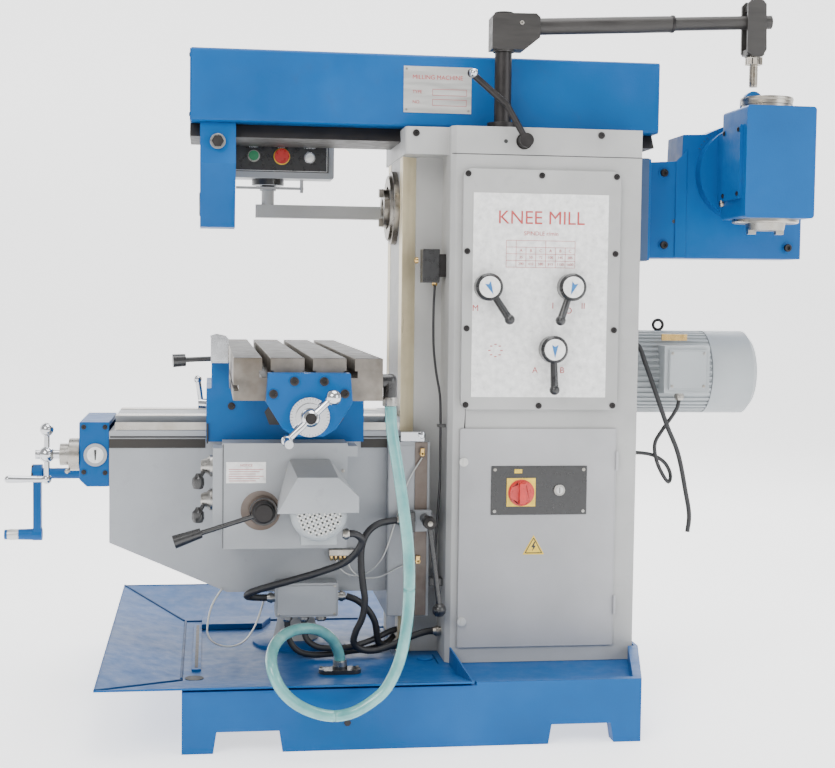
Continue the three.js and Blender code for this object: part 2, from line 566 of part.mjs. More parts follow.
base();
tray();
column();
gearCover();
speedLevers();
doorParts();
overarm();
arborSupport();
overarmLever();
spindle();
pendant();
hoist();
headBracket();
head();
motor();
knee();
crossCrank();
elevatingCrank();
feedDrive();
saddle();
table();
coolant();

export default root;
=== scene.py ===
import math

import bmesh
import bpy
from mathutils import Matrix, Vector


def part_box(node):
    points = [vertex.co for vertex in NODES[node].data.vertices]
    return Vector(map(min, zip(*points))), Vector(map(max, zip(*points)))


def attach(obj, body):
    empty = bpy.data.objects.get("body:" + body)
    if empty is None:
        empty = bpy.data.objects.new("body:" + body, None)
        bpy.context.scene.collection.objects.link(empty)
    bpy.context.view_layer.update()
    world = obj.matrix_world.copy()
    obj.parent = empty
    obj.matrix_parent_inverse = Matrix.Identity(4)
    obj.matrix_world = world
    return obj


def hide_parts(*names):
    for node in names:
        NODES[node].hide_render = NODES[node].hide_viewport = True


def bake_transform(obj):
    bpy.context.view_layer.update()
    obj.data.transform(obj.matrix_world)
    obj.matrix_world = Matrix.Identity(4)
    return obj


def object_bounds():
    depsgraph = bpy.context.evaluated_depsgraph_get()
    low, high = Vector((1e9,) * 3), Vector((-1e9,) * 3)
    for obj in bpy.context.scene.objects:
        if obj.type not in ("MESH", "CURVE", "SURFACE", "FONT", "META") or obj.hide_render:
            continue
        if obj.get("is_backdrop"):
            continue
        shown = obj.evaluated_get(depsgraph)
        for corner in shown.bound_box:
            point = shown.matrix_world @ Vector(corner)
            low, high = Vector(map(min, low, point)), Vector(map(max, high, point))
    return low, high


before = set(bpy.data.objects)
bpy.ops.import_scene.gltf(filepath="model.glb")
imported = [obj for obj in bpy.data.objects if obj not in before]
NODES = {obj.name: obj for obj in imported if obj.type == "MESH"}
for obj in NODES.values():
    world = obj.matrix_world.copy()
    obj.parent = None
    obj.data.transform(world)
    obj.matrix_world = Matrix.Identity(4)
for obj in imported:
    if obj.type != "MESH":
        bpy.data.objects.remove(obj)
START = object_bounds()

# Machine coordinates in millimetres: x = 0 at the way face, y = 0 on the centre plane, z = 0 floor.
WAY_FACE_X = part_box("column")[0].x + 0.002

# Axes of the machine as pairs in the plane across each: (x, z), (x, y) or (y, z).
TABLE_SCREW = (-262.5, 754)
FEED_MOTOR = (-222, 511)
DIRECTION_HUB = (-346, 503)
KNEE_CLAMP = (58, 462)
HOIST_SCREW = (882, -190)
HEAD_SPINDLE = (900, -250)
MAIN_MOTOR = (0, 820)
TILT_CENTRE = (895, 1339)
TILT_RADIUS = 131.4


def at(x, y, z):
    """Machine millimetres to metres in the frame."""
    return Vector((WAY_FACE_X + x / 1000, y / 1000, z / 1000))


# ------------------------------------------------------------------ camera
YAW = math.radians(7.965)
PITCH = math.radians(-3.377)
ROLL = math.radians(0.719)
forward = Vector((math.sin(YAW) * math.cos(PITCH), math.cos(YAW) * math.cos(PITCH), math.sin(PITCH)))
side = forward.cross(Vector((0, 0, 1))).normalized()
up = side.cross(forward)
right = math.cos(ROLL) * side + math.sin(ROLL) * up
top = -math.sin(ROLL) * side + math.cos(ROLL) * up
cam_data = bpy.data.cameras.new("camera")
cam = bpy.data.objects.new("camera", cam_data)
bpy.context.scene.collection.objects.link(cam)
turn = Matrix((right, top, -forward)).transposed().to_4x4()
cam.matrix_world = Matrix.Translation(at(-471, -3820, 1011.1)) @ turn
cam_data.sensor_width = 36
cam_data.lens = 64.0
cam_data.dof.use_dof = False
bpy.context.scene.camera = cam


# ------------------------------------------------------------------ materials
def node_tree(name):
    m = bpy.data.materials.new(name)
    m.use_nodes = True
    nt = m.node_tree
    bsdf = nt.nodes["Principled BSDF"]
    return m, nt, bsdf


def noise(nt, scale, detail=6.0, rough=0.6, stretch=None):
    coord = nt.nodes.new("ShaderNodeTexCoord")
    n = nt.nodes.new("ShaderNodeTexNoise")
    n.inputs["Scale"].default_value = scale
    n.inputs["Detail"].default_value = detail
    n.inputs["Roughness"].default_value = rough
    if stretch:
        mp = nt.nodes.new("ShaderNodeMapping")
        mp.inputs["Scale"].default_value = stretch
        nt.links.new(coord.outputs["Object"], mp.inputs["Vector"])
        nt.links.new(mp.outputs["Vector"], n.inputs["Vector"])
    else:
        nt.links.new(coord.outputs["Object"], n.inputs["Vector"])
    return n


def ramp(nt, src, stops):
    r = nt.nodes.new("ShaderNodeValToRGB")
    while len(r.color_ramp.elements) < len(stops):
        r.color_ramp.elements.new(0.5)
    for e, (pos, col) in zip(r.color_ramp.elements, stops):
        e.position = pos
        e.color = (*col, 1) if len(col) == 3 else col
    nt.links.new(src, r.inputs["Fac"])
    return r


def grey(v):
    return (v, v, v)


def mix_color(nt, fac, a, b, mode="MIX"):
    m = nt.nodes.new("ShaderNodeMix")
    m.data_type = "RGBA"
    m.blend_type = mode
    for sock, val in (("A", a), ("B", b)):
        target = [i for i in m.inputs if i.name == sock and i.type == "RGBA"][0]
        if isinstance(val, tuple):
            target.default_value = (*val, 1)
        else:
            nt.links.new(val, target)
    f = [i for i in m.inputs if i.name == "Factor" and i.type == "VALUE"][0]
    if isinstance(fac, (int, float)):
        f.default_value = fac
    else:
        nt.links.new(fac, f)
    return [o for o in m.outputs if o.type == "RGBA"][0]


def bump(nt, bsdf, src, strength, distance):
    b = nt.nodes.new("ShaderNodeBump")
    b.inputs["Strength"].default_value = strength
    b.inputs["Distance"].default_value = distance
    nt.links.new(src, b.inputs["Height"])
    nt.links.new(b.outputs["Normal"], bsdf.inputs["Normal"])
    return b


def paint(name, color, rough=0.35, dirt=(0.05, 0.045, 0.04), dirt_amount=0.25, orange=0.35, coat=0.25):
    """Sprayed enamel: slow colour drift, specks of grime, orange-peel bump, uneven gloss."""
    m, nt, b = node_tree(name)
    slow = noise(nt, 3.2, 4, 0.55)
    fine = noise(nt, 26, 5, 0.65)
    light = tuple(min(1, c * 1.12 + 0.008) for c in color)
    dark = tuple(c * 0.84 for c in color)
    base = ramp(nt, slow.outputs["Fac"], [(0.3, dark), (0.52, color), (0.72, light)])
    spots = ramp(nt, fine.outputs["Fac"], [(0.60, grey(0)), (0.78, grey(dirt_amount))])
    col = mix_color(nt, spots.outputs["Color"], base.outputs["Color"], dirt)
    nt.links.new(col, b.inputs["Base Color"])
    rr = ramp(nt, fine.outputs["Fac"], [(0.25, grey(rough - 0.08)), (0.75, grey(rough + 0.14))])
    nt.links.new(rr.outputs["Color"], b.inputs["Roughness"])
    peel = noise(nt, 260, 2, 0.5)
    bump(nt, b, peel.outputs["Fac"], orange, 0.0006)
    b.inputs["Coat Weight"].default_value = coat
    b.inputs["Coat Roughness"].default_value = 0.18
    b.inputs["Specular IOR Level"].default_value = 0.22
    return m


def metal(name, color, rough=0.3, stretch=None, scale=40, vary=0.25, stain=None, metallic=1.0,
        strength=0.12):
    m, nt, b = node_tree(name)
    n = noise(nt, scale, 6, 0.6, stretch)
    slow = noise(nt, 7, 4, 0.6)
    base = ramp(nt, n.outputs["Fac"], [(0.3, tuple(c * (1 - vary) for c in color)), (0.7, color)])
    out = base.outputs["Color"]
    if stain:
        f = ramp(nt, slow.outputs["Fac"], [(0.45, grey(0)), (0.7, grey(0.75))])
        out = mix_color(nt, f.outputs["Color"], out, stain)
    nt.links.new(out, b.inputs["Base Color"])
    rr = ramp(nt, n.outputs["Fac"], [(0.3, grey(max(0.03, rough - 0.08))), (0.7, grey(rough + 0.12))])
    nt.links.new(rr.outputs["Color"], b.inputs["Roughness"])
    b.inputs["Metallic"].default_value = metallic
    bump(nt, b, n.outputs["Fac"], strength, 0.0004)
    return m


def plastic(name, color, rough=0.4, coat=0.0):
    m, nt, b = node_tree(name)
    n = noise(nt, 60, 4, 0.6)
    base = ramp(nt, n.outputs["Fac"], [(0.3, tuple(c * 0.82 for c in color)), (0.7,
        tuple(min(1, c * 1.15 + 0.004) for c in color))])
    nt.links.new(base.outputs["Color"], b.inputs["Base Color"])
    rr = ramp(nt, n.outputs["Fac"], [(0.3, grey(rough - 0.06)), (0.7, grey(rough + 0.12))])
    nt.links.new(rr.outputs["Color"], b.inputs["Roughness"])
    bump(nt, b, n.outputs["Fac"], 0.1, 0.0003)
    b.inputs["Coat Weight"].default_value = coat
    return m


MAT = {
    "blue": paint("enamel_blue", (0.001, 0.082, 0.275), 0.42, dirt_amount=0.16, coat=0.03),
    # darker copy of the blue enamel, used as painted shade along the tray creases
    "crease_shade": paint("enamel_blue_painted_crease_shade", (0.001, 0.045, 0.150), 0.45, dirt_amount=0.4, coat=0.0),
    "warm": paint("enamel_warm_gray", (0.40, 0.40, 0.395), 0.42, dirt_amount=0.10, coat=0.12),
    "gray": paint("enamel_knee_gray", (0.35, 0.365, 0.385), 0.42, dirt_amount=0.14, coat=0.12),
    "door": paint("enamel_door", (0.40, 0.40, 0.41), 0.40, dirt_amount=0.05, coat=0.12),
    "motor": paint("enamel_motor", (0.36, 0.385, 0.40), 0.45, dirt_amount=0.12, coat=0.05),
    "navy": paint("hanger_navy", (0.045, 0.085, 0.17), 0.45, dirt_amount=0.2, coat=0.1),
    "iron": metal("table_iron_worn", (0.27, 0.245, 0.215), 0.42, scale=22, vary=0.45,
        stain=(0.10, 0.075, 0.05), metallic=0.75, strength=0.25),
    "ways": metal("ground_way", (0.80, 0.70, 0.48), 0.34, stretch=(1, 1, 0.08), scale=60, vary=0.12,
        stain=(0.60, 0.50, 0.31), metallic=0.45),
    "waybar": metal("ground_way_flat", (0.58, 0.56, 0.52), 0.28, stretch=(0.08, 1, 1), scale=70, vary=0.25,
        stain=(0.26, 0.20, 0.13), metallic=0.9),
    # dark oiled iron; the same material also serves as painted shade on the T-slot floors and under the knee
    # way
    "oil_dark_and_shade": metal("oiled_iron_dark_and_painted_shade", (0.026, 0.022, 0.018), 0.5, scale=30, vary=0.4, metallic=0.0),
    "dark": metal("blackened_steel", (0.045, 0.042, 0.042), 0.42, scale=50, vary=0.35, metallic=0.85),
    "tube": metal("jib_tube_gray", (0.045, 0.042, 0.04), 0.42, stretch=(0.15, 1, 1), scale=60, vary=0.3,
        metallic=0.3),
    "steel": metal("turned_steel", (0.42, 0.41, 0.39), 0.30, scale=80, vary=0.22, stain=(0.34, 0.29, 0.22)),
    "spindle": metal("spindle_steel", (0.30, 0.28, 0.25), 0.30, scale=60, vary=0.35,
        stain=(0.12, 0.09, 0.06)),
    "chrome": metal("chrome", (0.60, 0.61, 0.63), 0.07, scale=30, vary=0.08, strength=0.03),
    "brass": metal("brass", (0.72, 0.48, 0.18), 0.25, scale=50, vary=0.25),
    "black": plastic("black_phenolic", (0.017, 0.017, 0.018), 0.28, 0.3),
    "rubber": plastic("conduit_black", (0.014, 0.014, 0.016), 0.45),
    "red": plastic("red_switch", (0.56, 0.015, 0.012), 0.28, 0.4),
    "green": plastic("green_button", (0.02, 0.26, 0.10), 0.3, 0.3),
    "white": plastic("white_plate", (0.80, 0.80, 0.79), 0.32, 0.3),
    "lamp": plastic("white_lamp", (0.85, 0.85, 0.80), 0.15, 0.6),
    "yellow": plastic("yellow_label", (0.85, 0.58, 0.03), 0.35, 0.2),
    "ink_red": plastic("print_red", (0.45, 0.05, 0.05), 0.5),
    "ink_blue": plastic("print_blue", (0.02, 0.16, 0.42), 0.45),
    # black print ink; the same black also stands as painted shade inside holes, slots, grooves, pockets and
    # behind the fan grille
    "ink_and_recess_shade": plastic("print_black_and_recess_shade", (0.03, 0.03, 0.03), 0.5),
    "face": metal("brushed_label", (0.62, 0.62, 0.60), 0.38, stretch=(0.1, 1, 1), scale=90, vary=0.15,
        metallic=0.7),
    "rustplate": metal("worn_hub", (0.24, 0.20, 0.175), 0.5, scale=16, vary=0.4, stain=(0.10, 0.07, 0.055),
        metallic=0.6, strength=0.3),
}


def hose_material():
    m, nt, b = node_tree("hose_teal")
    n = noise(nt, 12, 4, 0.6)
    fine = noise(nt, 120, 3, 0.5, (1, 1, 0.25))
    base = ramp(nt, n.outputs["Fac"], [(0.3, (0.10, 0.36, 0.36)), (0.55, (0.20, 0.52, 0.50)),
        (0.75, (0.38, 0.68, 0.62))])
    nt.links.new(base.outputs["Color"], b.inputs["Base Color"])
    rr = ramp(nt, fine.outputs["Fac"], [(0.3, grey(0.12)), (0.7, grey(0.26))])
    nt.links.new(rr.outputs["Color"], b.inputs["Roughness"])
    b.inputs["Transmission Weight"].default_value = 0.25
    b.inputs["Subsurface Weight"].default_value = 0.25
    b.inputs["Subsurface Radius"].default_value = (0.008, 0.012, 0.012)
    b.inputs["Coat Weight"].default_value = 0.8
    b.inputs["Coat Roughness"].default_value = 0.06
    bump(nt, b, fine.outputs["Fac"], 0.12, 0.0006)
    return m


MAT["hose"] = hose_material()


# ------------------------------------------------------------------ building helpers
def link(name, mesh, mat, body, smooth=False, bevel=0.0, slot=None):
    o = bpy.data.objects.new(name, mesh)
    bpy.context.scene.collection.objects.link(o)
    mesh.materials.append(MAT[mat])
    if smooth:
        mesh.polygons.foreach_set("use_smooth", [True] * len(mesh.polygons))
        if smooth != "all":
            mesh.set_sharp_from_angle(angle=math.radians(40))
    if bevel:
        b = o.modifiers.new("edges", "BEVEL")
        b.width = bevel / 1000
        b.segments = 2
        b.limit_method = "ANGLE"
    if body:
        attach(o, body)
    return o


# A flat outline (u, v) at the place w along each axis.
AXIS = {
    "x": lambda u, v, w: at(w, u, v),
    "y": lambda u, v, w: at(u, w, v),
    "z": lambda u, v, w: at(u, v, w),
}


def closed_mesh(name, verts, faces):
    me = bpy.data.meshes.new(name)
    me.from_pydata([tuple(v) for v in verts], [], faces)
    bm = bmesh.new()
    bm.from_mesh(me)
    bmesh.ops.recalc_face_normals(bm, faces=bm.faces)
    bm.to_mesh(me)
    bm.free()
    return me


def prism(name, outline, axis, a, b, mat, body, bevel=0.0, smooth=False):
    """Outline in mm in the plane across the axis, from a to b along it: (y, z), (x, z) or (x, y)."""
    put = AXIS[axis]
    n = len(outline)
    verts = [put(u, v, a) for u, v in outline] + [put(u, v, b) for u, v in outline]
    faces = [list(range(n)), list(range(2 * n - 1, n - 1, -1))]
    faces += [[i, i + n, (i + 1) % n + n, (i + 1) % n] for i in range(n)]
    me = closed_mesh(name, verts, faces)
    return link(name, me, mat, body, smooth, bevel)


def block(name, x0, x1, y0, y1, z0, z1, mat, body, bevel=0.6):
    return prism(name, [(x0, z0), (x1, z0), (x1, z1), (x0, z1)], "y", y0, y1, mat, body, bevel)


def circle(u, v, r, n=28, start=0.0):
    return [(u + r * math.cos(start + 2 * math.pi * i / n),
        v + r * math.sin(start + 2 * math.pi * i / n)) for i in range(n)]


def scale_mark(u, v, angle, inner, outer, half):
    """Thin radial bar of a scale around (u, v)."""
    c, s = math.cos(angle), math.sin(angle)
    ends = ((inner, half), (outer, half), (outer, -half), (inner, -half))
    return [(u + q * c - w * s, v + q * s + w * c) for q, w in ends]


def disc(name, axis, u, v, r, a, b, mat, body, n=28, bevel=0.5):
    return prism(name, circle(u, v, r, n), axis, a, b, mat, body, bevel, smooth=True)


def ring(name, axis, u, v, r_in, r_out, a, b, mat, body, n=32):
    """Flat ring with a real hole."""
    put = AXIS[axis]
    verts = [put(p, q, w) for w, rad in ((a, r_in), (a, r_out), (b, r_out), (b, r_in)) for p,
        q in circle(u, v, rad, n)]
    faces = [[k * n + i, k * n + (i + 1) % n, (k + 1) % 4 * n + (i + 1) % n,
        (k + 1) % 4 * n + i] for k in range(4) for i in range(n)]
    me = bpy.data.meshes.new(name)
    me.from_pydata([tuple(p) for p in verts], [], faces)
    me.flip_normals() if a < b and axis != "y" else None
    return link(name, me, mat, body, True)


def socket_screw(name, axis, u, v, a, r, height, mat, body, sign=-1):
    """Cap screw with a hexagon socket, its head standing out from a along the axis."""
    put = AXIS[axis]
    n = 24
    rings = [(r, 0), (r, height * 0.82), (r * 0.88, height), (r * 0.52, height), (r * 0.52, height * 0.35)]
    verts = []
    for k, (rad, h) in enumerate(rings):
        for i in range(n):
            t = 2 * math.pi * i / n
            rr = rad
            if k >= 3:
                rr = rad / max(abs(math.cos((t % (math.pi / 3)) - math.pi / 6)), 0.6) * 0.9
            verts.append(put(u + rr * math.cos(t), v + rr * math.sin(t), a + sign * h))
    faces = []
    for k in range(len(rings) - 1):
        for i in range(n):
            faces.append([k * n + i, k * n + (i + 1) % n, (k + 1) * n + (i + 1) % n, (k + 1) * n + i])
    faces.append([(len(rings) - 1) * n + i for i in range(n)])
    faces.append([i for i in reversed(range(n))])
    me = closed_mesh(name, verts, faces)
    return link(name, me, mat, body, True)


def screws(name, axis, places, *rest):
    for i, (u, v) in enumerate(places):
        socket_screw(f"{name}_{i}", axis, u, v, *rest)


def lathe(name, axis, u, v, profile, mat, body, n=36):
    """profile: list of (position along the axis, radius), closed at both ends by radius 0 or flat discs."""
    put = AXIS[axis]
    verts, faces = [], []
    for w, r in profile:
        for i in range(n):
            t = 2 * math.pi * i / n
            verts.append(put(u + r * math.cos(t), v + r * math.sin(t), w))
    for k in range(len(profile) - 1):
        for i in range(n):
            faces.append([k * n + i, k * n + (i + 1) % n, (k + 1) * n + (i + 1) % n, (k + 1) * n + i])
    faces.append(list(range(n)))
    faces.append([(len(profile) - 1) * n + i for i in reversed(range(n))])
    me = closed_mesh(name, verts, faces)
    return link(name, me, mat, body, True)


def spline(points, per=10):
    """Centripetal Catmull-Rom through the points, in metres."""
    pts = [Vector(p) for p in points]
    pts = [2 * pts[0] - pts[1]] + pts + [2 * pts[-1] - pts[-2]]
    out = []
    for i in range(1, len(pts) - 2):
        p0, p1, p2, p3 = pts[i - 1 : i + 3]
        t0 = 0.0
        t1 = t0 + max((p1 - p0).length, 1e-6) ** 0.5
        t2 = t1 + max((p2 - p1).length, 1e-6) ** 0.5
        t3 = t2 + max((p3 - p2).length, 1e-6) ** 0.5
        for k in range(per):
            t = t1 + (t2 - t1) * k / per
            a1 = p0 * ((t1 - t) / (t1 - t0)) + p1 * ((t - t0) / (t1 - t0))
            a2 = p1 * ((t2 - t) / (t2 - t1)) + p2 * ((t - t1) / (t2 - t1))
            a3 = p2 * ((t3 - t) / (t3 - t2)) + p3 * ((t - t2) / (t3 - t2))
            b1 = a1 * ((t2 - t) / (t2 - t0)) + a2 * ((t - t0) / (t2 - t0))
            b2 = a2 * ((t3 - t) / (t3 - t1)) + a3 * ((t - t1) / (t3 - t1))
            out.append(b1 * ((t2 - t) / (t2 - t1)) + b2 * ((t - t1) / (t2 - t1)))
    out.append(pts[-2])
    return out


def resample(points, step):
    total = sum((b - a).length for a, b in zip(points, points[1:]))
    count = max(2, round(total / step))
    want = [total * i / count for i in range(count + 1)]
    out, run, k = [], 0.0, 0
    for w in want:
        while k < len(points) - 2 and run + (points[k + 1] - points[k]).length < w:
            run += (points[k + 1] - points[k]).length
            k += 1
        seg = (points[k + 1] - points[k]).length
        out.append(points[k].lerp(points[k + 1], min(1, max(0, (w - run) / seg)) if seg else 0))
    return out, total


def tube(name, points, radius, mat, sides=14, step=0.006, rib=0.0):
    """Mesh tube along points (metres). rib makes a corrugated conduit."""
    path, total = resample(points, step)
    tangent = [(path[min(i + 1, len(path) - 1)] - path[max(i - 1,
        0)]).normalized() for i in range(len(path))]
    normal = tangent[0].orthogonal().normalized()
    verts, faces = [], []
    for i, p in enumerate(path):
        normal = (normal - tangent[i] * normal.dot(tangent[i])).normalized()
        other = tangent[i].cross(normal)
        r = radius - (rib if i % 2 else 0)
        for s in range(sides):
            t = 2 * math.pi * s / sides
            verts.append(p + normal * (r * math.cos(t)) + other * (r * math.sin(t)))
    for i in range(len(path) - 1):
        for s in range(sides):
            faces.append([i * sides + s, i * sides + (s + 1) % sides, (i + 1) * sides + (s + 1) % sides,
                (i + 1) * sides + s])
    faces.append([s for s in reversed(range(sides))])
    faces.append([(len(path) - 1) * sides + s for s in range(sides)])
    me = bpy.data.meshes.new(name)
    me.from_pydata([tuple(v) for v in verts], [], faces)
    o = link(name, me, mat, None, "all")
    return o, path, total


def lead(name, pts, d, mat, body=None, across=None,
        corrugated=False):
    """A cable, conduit or hose: a tube of its real length along given points in machine millimetres."""
    line = spline([at(*p) for p in pts])
    step = 0.0032 if corrugated else max(0.004, d / 1000 * 0.45)
    o, path, total = tube(name, line, d / 2000, mat, 12 if d < 12 else 16, step,
        d / 2000 * 0.12 if corrugated else 0)
    if across:
        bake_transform(o)
    else:
        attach(o, body)
    return o


def words(name, text, x, z, y, size, mat, body, align="CENTER"):
    """Flat printed text on a face that looks along -Y."""
    c = bpy.data.curves.new(name, "FONT")
    c.body = text
    c.size = size / 1000
    c.align_x = align
    c.align_y = "CENTER"
    c.extrude = 0.00025
    o = bpy.data.objects.new(name, c)
    bpy.context.scene.collection.objects.link(o)
    o.data.materials.append(MAT[mat])
    o.matrix_world = Matrix.Translation(at(x, y, z)) @ Matrix.Rotation(math.radians(90), 4, "X")
    bpy.context.view_layer.update()
    me = bpy.data.meshes.new_from_object(o.evaluated_get(bpy.context.evaluated_depsgraph_get()))
    bpy.data.objects.remove(o)
    m = bpy.data.objects.new(name, me)
    bpy.context.scene.collection.objects.link(m)
    m.matrix_world = Matrix.Translation(at(x, y, z)) @ Matrix.Rotation(math.radians(90), 4, "X")
    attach(m, body)
    return m


# ------------------------------------------------------------------ hoses and conduits
ROUTE = [(-81, -600, 788), (-76, -603, 718), (-62, -608, 631), (-49, -613, 543), (-39, -620, 456),
         (-37, -628, 369), (-44, -636, 282), (-61, -640, 206), (-90, -642, 151), (-122, -643, 124), (-162,
             -644, 103),
         (-199, -644, 97), (-242, -643, 105), (-286, -640, 127), (-318, -632, 159), (-335, -612, 198),
         (-331, -560, 225), (-306, -500, 242), (-264, -440, 244), (-219, -390, 229), (-182, -350, 196),
         (-164, -330, 158), (-161, -327, 131)]


def coolant_hose():
    whole = spline([at(*p) for p in ROUTE])
    parts = [("drain_hose_upper", 0, 5, "coolant_hose_upper", ("table", "saddle")),
             ("drain_hose_middle", 5, 11, "coolant_hose_middle", ("saddle", "knee")),
             ("drain_hose_lower", 11, 22, "coolant_hose_lower", ("knee", "machine"))]
    for name, i, j, node, bodies in parts:
        piece = whole[i * 10 : j * 10 + 1]
        o, path, total = tube(name, piece, 0.013, "hose", 24, 0.006)
        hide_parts(node)
        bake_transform(o)


coolant_hose()

KNEE_TO_COLUMN = ("knee", "machine")
CONDUITS = {
    "conduit_motor": [(-160, -420, 460), (-137, -422, 460), (-120, -410, 444), (-127, -395, 418),
        (-155, -370, 385),
                      (-211, -340, 357), (-280, -300, 329), (-338, -260, 305), (-373, -230, 287), (-379,
                          -205, 274),
                      (-357, -188, 267), (-327, -182, 265)],
    "conduit_clamp": [(-8, -199, 457), (-34, -207, 456), (-61, -218, 451), (-86, -226, 433),
        (-101, -232, 402), (-103, -234, 353),
                      (-98, -235, 304), (-93, -235, 266), (-99, -232, 221), (-114, -228, 186), (-118, -222,
                          158),
                      (-100, -215, 140), (-68, -208, 134), (-25, -200, 143), (31, -190, 164), (72, -182,
                          174), (92, -180, 174)],
    "conduit_box_rear": [(-134, -180, 266), (-107, -181, 255), (-79, -181, 230), (-62, -178, 200),
        (-56, -172, 172),
                         (-52, -165, 148), (-36, -156, 134), (-13, -148, 130), (14, -140, 130)],
    "conduit_box_low_front": [(-280, -178, 208), (-278, -179, 182), (-270, -182, 150), (-250, -186, 130),
        (-218, -188, 122),
                              (-173, -184, 122), (-123, -170, 124), (-66, -150, 126), (-24, -130, 136), (-6,
                                  -116, 150)],
    "conduit_box_low_mid": [(-238, -178, 207), (-238, -180, 184), (-231, -187, 160), (-208, -196, 144),
        (-173, -200, 140),
                            (-130, -194, 140), (-92, -180, 146), (-52, -160, 156), (-20, -142, 166), (4,
                                -130, 170)],
}


def conduits():
    gland("gland_motor", "x", -420, 460, -166, -150, "knee", 1)
    gland("gland_clamp", "x", -202, 457, 6, -12, "knee", -1)
    gland("gland_box_front", "x", -182, 265, -311, -330, "knee", -1)
    gland("gland_box_rear", "x", -180, 266, -156, -136, "knee", 1)
    gland("gland_box_low_front", "z", -280, -178, 220, 205, "knee", -1)
    gland("gland_box_low_mid", "z", -238, -178, 220, 205, "knee", -1)
    gland("gland_box_low_rear", "z", -196, -178, 220, 205, "knee", -1)
    gland("gland_column", "x", -180, 174, 105, 84, "machine", -1)
    lead("conduit_motor", CONDUITS["conduit_motor"], 18, "rubber", body="knee", corrugated=True)
    lead("conduit_clamp", CONDUITS["conduit_clamp"], 18, "rubber", across=(*KNEE_TO_COLUMN, (-93, -235,
        300), (-60, -205, 130)), corrugated=True)
    lead("conduit_box_rear", CONDUITS["conduit_box_rear"], 18, "rubber",
        across=(*KNEE_TO_COLUMN, (-100, -180, 262), (0, -150, 132)), corrugated=True)
    lead("conduit_box_low_front", CONDUITS["conduit_box_low_front"], 16, "rubber",
        across=(*KNEE_TO_COLUMN, (-280, -178, 205), (-20, -130, 130)), corrugated=True)
    lead("conduit_box_low_mid", CONDUITS["conduit_box_low_mid"], 16, "rubber",
        across=(*KNEE_TO_COLUMN, (-238, -178, 205), (0, -130, 150)), corrugated=True)
    lead("lube_line_upper", [(-159, -162, 363), (-153, -166, 338), (-128, -168, 317), (-93, -170, 316),
        (-49, -176, 352),
                             (-13, -184, 453), (18, -186, 554), (52, -184, 612)], 4, "face", body="knee")
    lead("lube_line_lower", [(-131, -162, 362), (-123, -167, 332), (-98, -170, 311), (-53, -176, 311),
        (-11, -184, 333),
                             (36, -184, 352)], 4, "face", body="knee")
    lead("lube_return_loop", [(-440, -155, 284), (-464, -165, 245), (-474, -175, 205), (-474, -180, 175),
        (-459, -182, 155),
                              (-422, -182, 145), (-388, -180, 155), (-361, -172, 188), (-342, -162,
                                  236), (-334, -156, 262)],
         5, "face", body="knee")
    lead("limit_switch_cable", [(77, -190, 1042), (74, -196, 990), (74, -202, 892), (80, -206, 830),
        (90, -212, 768),
                                (92, -214, 707), (92, -216, 633), (92, -216, 558), (90, -212, 508), (88,
                                    -206, 457),
                                (84, -200, 355), (80, -196, 306)], 6, "rubber", body="machine")


def gland(name, axis, u, v, a, b, body, sign):
    """Threaded hex gland with a lock ring, from its wall at a to the cable end at b."""
    step = (b - a) / 10
    nut = [(a, 11), (a + step * 3, 11), (a + step * 3, 13.5), (a + step * 7, 13.5), (a + step * 7, 11.5),
        (b, 10)]
    return lathe(name, axis, u, v, nut, "steel", body, 12)


conduits()


def motor_cables():
    gland("gland_terminal", "z", 730, -120, 771, 752, "machine", -1)
    gland("gland_column_rear", "x", -100, 613, 580, 602, "machine", 1)
    lead("motor_cable", [(730, -120, 758), (726, -122, 735), (713, -122, 712), (689, -118, 676),
        (671, -112, 640), (676, -106, 600),
                         (693, -102, 562), (714, -98, 536), (722, -88, 552), (706, -92, 584), (672, -98,
                             606), (635, -100, 613),
                         (598, -100, 613)], 10, "rubber", body="machine")
    lead("supply_cable", [(598, -116, 900), (617, -122, 893), (637, -130, 842), (665, -136, 765),
        (695, -134, 687),
                          (727, -128, 617), (752, -122, 517), (765, -118, 451), (762, -116,
                              408)], 12, "rubber",
         body="machine")


motor_cables()


